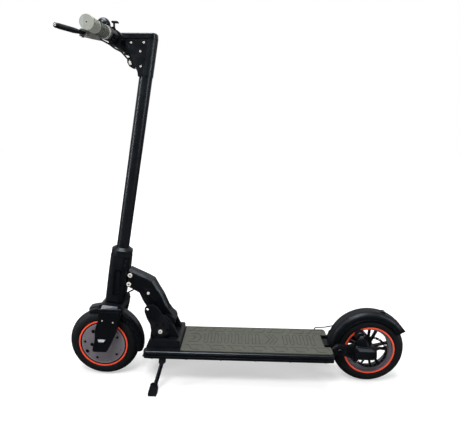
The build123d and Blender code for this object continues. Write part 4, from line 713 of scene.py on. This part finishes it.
LAMP_FACE, LAMP_HEIGHT = 412.3, 1165.5
dome = [(3.2, LAMP_FACE), (3.2, LAMP_FACE + 0.4), (2.4, LAMP_FACE + 0.8), (0, LAMP_FACE + 1.0)]
for y in (-7.5, 0, 7.5):
    lamp_cells.lathe((y, LAMP_HEIGHT), [(0, LAMP_FACE)] + dome, 24)
lamp_cells.finish("lamp_cells", "steering", "lamp_lens", angle=40)

# ---------------------------------------------------------------- deck mat pattern
# the mat's pressed lines, dark as painted shade in their grooves
mat_lines = Form(ROW)


def meander(start, stop, pitch, low, high):
    """A line that runs to and fro across the mat, with round turns."""
    points, x, side = [], start, 1
    while x > stop:
        y_end = high if side > 0 else low
        y_turn = y_end - side * pitch / 2
        points.append((x, -y_turn + (high + low)))
        points.append((x, y_turn))
        middle = x - pitch / 2
        for k in range(1, 6):
            angle = math.pi * k / 6
            points.append((middle + pitch / 2 * math.cos(angle), y_turn + side * pitch / 2 * math.sin(angle)))
        x -= pitch
        side = -side
    return points


def mat_line(points, width=1.3):
    """One line on the mat."""
    mat_lines.band(points, width, MAT_LOW, MAT_HIGH)


mat_line(meander(112, -96, 12.5, -36, 34))
mat_line(meander(-176, -292, 12.5, -36, 34))
for shift in (0, 15, 30):
    mat_line([(-108 - shift, -36), (-128 - shift, -1), (-108 - shift, 34)])
mat_line([(168, -30), (136, -30), (124, -1), (136, 28), (168, 28)])
mat_line([(156, -16), (146, -1), (156, 14)])
for hand in HANDS:
    for x in range(176, -269, -74):
        mat_line([(x, hand * 50), (x - 12, hand * 50), (x - 24, hand * 78), (x - 52, hand * 78)], 1.4)
        mat_line([(x - 20, hand * 50), (x - 58, hand * 50), (x - 66, hand * 68)], 1.2)
mat_lines.finish("mat_pattern", "deck", "mat_groove", bevel=0.25)
studs = Form(ROW)
STUD_LINE, STUD_FIRST, STUD_PITCH, STUD_COUNT = 83.2, 178, 11.6, 44
stud = [(0, 145.6), (1.7, 145.6), (1.5, 146.3), (0, 146.45)]
for hand in HANDS:
    for k in range(STUD_COUNT):
        studs.lathe((STUD_FIRST - STUD_PITCH * k, hand * STUD_LINE), stud, 10)
studs.finish("mat_studs", "deck", "mat_rubber", angle=60)

# ---------------------------------------------------------------- deck edges and underside
# thin strips along the deck's sides, paler than its paint as painted highlight lines
edges = Form(ROW)
for hand in HANDS:
    for x_low, x_high, y_in, y_out, low, high in (
        (-340, 309, 94.4, 95.5, 134.2, 135.4),
        (-340, 309, 94.4, 95.5, 123.4, 124.4),
        (-326, 300, 92, 93.1, 128.6, 130.4),
    ):
        strip = [(x_low, y_in), (x_high, y_in), (x_high, y_out), (x_low, y_out)]
        edges.slab([(x, hand * y) for x, y in strip], low, high)
edges.finish("deck_side_highlight_lines", "deck", "deck_painted_highlight", bevel=0.3)
base_screws = Form(ROW)
BASE_SCREWS, BASE_PITCH, BASE_MIDDLE = 6, 120.6, -13
for k in range(BASE_SCREWS):
    along = BASE_MIDDLE + BASE_PITCH * (k - (BASE_SCREWS - 1) / 2)
    for hand in HANDS:
        base_screws.screw((along, hand * 88), 113.8, 111.5, 4.2, 0.5)
base_screws.finish("base_screw_heads", "deck", "steel", angle=30, replace=["deck_screws"])
ribs = Form(ROW)
RIB_PITCH = 18
for k in range(-3, 4):
    oblong(ribs, (-250, 210), (RIB_PITCH * k - 2.5, RIB_PITCH * k + 2.5), 2.4, 112.4, 113.9, 4)
ribs.finish("base_plate_ribs", "deck", "black_alloy", bevel=0.4)

# ---------------------------------------------------------------- rear arm, brake and wheel
arm_screws = Form(REAR_WHEEL)
for hand in HANDS:
    arm_screws.screw((113, 17), hand * 63, hand * 66.4, 7.5, 0.5)
arm_screws.finish("swing_pin_sockets", "deck", "dark_steel", angle=30)
cover_screws = Form(REAR_WHEEL)
CALIPER = (39, 63)
for shift in (-9, 9):
    cover_screws.screw((CALIPER[0] + shift, CALIPER[1] - shift), 51, 54.4, 3.0, 0.5)
cover_screws.lathe(CALIPER, [(0, 51), (7.5, 51), (7.5, 53), (6.5, 53.8), (0, 53.8)], 6)
cover_screws.finish("caliper_screws", "rear_arms", "steel", angle=30)

bracket = Form(REAR_WHEEL)
bracket.slab([(92, 14), (88, 30), (66, 41), (52, 54), (44, 48), (46, 12)], 45.5, 52.3)
bracket.slab([(60, 24), (88, 20), (87, 24), (62, 28)], 52, 54.5)
bracket.finish("brake_bracket", "rear_arms", "black_alloy", bevel=0.8)
# panels on the arm's cover block, coloured as a painted reflection of the light on its top facets
block_facets = Form(REAR_WHEEL)
for hand in HANDS:
    block_facets.slab([(57, 33), (5, 28.5), (-7, 19), (47, 19)], hand * 67.5, hand * 68.4)
block_facets.finish("arm_cover_facets", "rear_arms", "painted_sheen_grey", bevel=0.3)


def hem(form, centre, radius, start, stop, low, high, width, steps=48):
    """A curved strip about a point, on both sides, between two angles in degrees."""
    points = []
    for k in range(steps + 1):
        angle = math.radians(start + (stop - start) * k / steps)
        points.append((centre[0] + radius * math.cos(angle), centre[1] + radius * math.sin(angle)))
    for hand in HANDS:
        form.band(points, width, hand * low, hand * high)


guard_lines = Form(REAR_WHEEL)
hem(guard_lines, (2, 4), 116.5, 4, 142, GUARD_HALF, GUARD_HALF + 1.6, 1.6)
guard_lines.finish("rear_guard_hems", "deck", "black_plastic", bevel=0.4)
front_hems = Form(STEER)
hem(front_hems, (FORK_OFFSET, 0), 124.5, 74, 190, 27.2, 28.5, 1.4)
front_hems.finish("front_guard_hems", "steering", "gloss_black", bevel=0.35)

# ---------------------------------------------------------------- camera, floor and light
CAMERA_PLACE = Vector((-0.0166, 1.3192, 0.8909))  # metres
YAW, PITCH, ROLL = 0.03037, 0.20197, -0.01036
FOCAL_SHARE = 0.852478  # focal length as a share of the sensor's width
SENSOR = 36.0

forward = Vector((math.sin(YAW) * math.cos(PITCH), -math.cos(YAW) * math.cos(PITCH), -math.sin(PITCH)))
right = Vector((-math.cos(YAW), -math.sin(YAW), 0))
down = forward.cross(right)
across = math.cos(ROLL) * right + math.sin(ROLL) * down
below = -math.sin(ROLL) * right + math.cos(ROLL) * down
camera = bpy.data.objects.new("camera", bpy.data.cameras.new("camera"))
scene.collection.objects.link(camera)
camera.data.sensor_width = SENSOR
camera.data.sensor_fit = "HORIZONTAL"
camera.data.lens = FOCAL_SHARE * SENSOR
axes = Matrix((across, -below, -forward)).transposed()
camera.matrix_world = Matrix.Translation(CAMERA_PLACE) @ axes.to_4x4()
scene.camera = camera


def camera_sees(tree, seen, unseen):
    """A strength that the camera sees as one value and other rays as another; each a number or a socket."""
    path = tree.nodes.new("ShaderNodeLightPath")
    made = tree.nodes.new("ShaderNodeMapRange")
    for key, value in (("To Min", unseen), ("To Max", seen)):
        if isinstance(value, (int, float)):
            made.inputs[key].default_value = value
        else:
            tree.links.new(value, made.inputs[key])
    tree.links.new(path.outputs["Is Camera Ray"], made.inputs["Value"])
    return made.outputs["Result"]


FLOOR_NEAR, FLOOR_FAR = 0.47, 1.02  # the floor's own glow near the scooter and away from it
floor_data = bpy.data.meshes.new("floor")
REACH = 14
corners = [(-REACH, -REACH, 0), (REACH, -REACH, 0), (REACH, REACH, 0), (-REACH, REACH, 0)]
floor_data.from_pydata(corners, [], [(0, 1, 2, 3)])
floor = bpy.data.objects.new("floor", floor_data)
scene.collection.objects.link(floor)
floor_shade = Shade("floor", (0.66, 0.66, 0.66), 0.95, Specular_IOR_Level=0.0)
floor_shade.tint(floor_shade.ramp(floor_shade.noise(1.5, 2), 0, 0.15), (0.65, 0.65, 0.655))
mirrored = floor_shade.node("ShaderNodeLightPath").outputs["Is Glossy Ray"]
floor_shade.tint(floor_shade.math("MULTIPLY", mirrored, 0.95), (0.02, 0.02, 0.02))
floor_shade.shader.inputs["Emission Color"].default_value = (1, 1, 1, 1)
distance = floor_shade.node("ShaderNodeVectorMath", operation="LENGTH")
floor_shade.link(floor_shade.place, distance.inputs[0])
glow = floor_shade.ramp(distance.outputs["Value"], FLOOR_NEAR, FLOOR_FAR, 0.7, 2.4)
floor_shade.link(camera_sees(floor_shade.tree, glow, 0.0), floor_shade.shader.inputs["Emission Strength"])
floor_data.materials.append(floor_shade.material)

world = bpy.data.worlds.new("world")
scene.world = world
world.use_nodes = True
tree = world.node_tree
background = tree.nodes["Background"]
background.inputs["Color"].default_value = (1, 1, 1, 1)
way = tree.nodes.new("ShaderNodeSeparateXYZ")
tree.links.new(tree.nodes.new("ShaderNodeTexCoord").outputs["Generated"], way.inputs[0])
backdrop = tree.nodes.new("ShaderNodeMapRange")
for key, value in (("From Min", 0.0), ("From Max", -0.6), ("To Min", 0.015), ("To Max", 0.5)):
    backdrop.inputs[key].default_value = value
tree.links.new(way.outputs[1], backdrop.inputs["Value"])
tree.links.new(camera_sees(tree, 1.0, backdrop.outputs["Result"]), background.inputs["Strength"])


def softbox(name, place, aim, width, height, power):
    light = bpy.data.lights.new(name, "AREA")
    light.shape = "RECTANGLE"
    light.size = width
    light.size_y = height
    light.energy = power
    obj = bpy.data.objects.new(name, light)
    scene.collection.objects.link(obj)
    obj.location = place
    obj.rotation_euler = (Vector(aim) - Vector(place)).to_track_quat("-Z", "Y").to_euler()


softbox("top_light", (0.1, 0.2, 2.9), (0, 0, 0.3), 1.8, 0.9, 60)
softbox("front_light", (0.5, 1.8, 3.0), (0, 0, 0.3), 1.0, 0.6, 62)
softbox("left_light", (2.3, 0.9, 1.3), (0.3, 0, 0.5), 0.3, 1.9, 24)
softbox("right_light", (-2.3, 0.9, 1.3), (0, 0, 0.5), 0.3, 1.9, 24)
scene.view_settings.view_transform = "Standard"
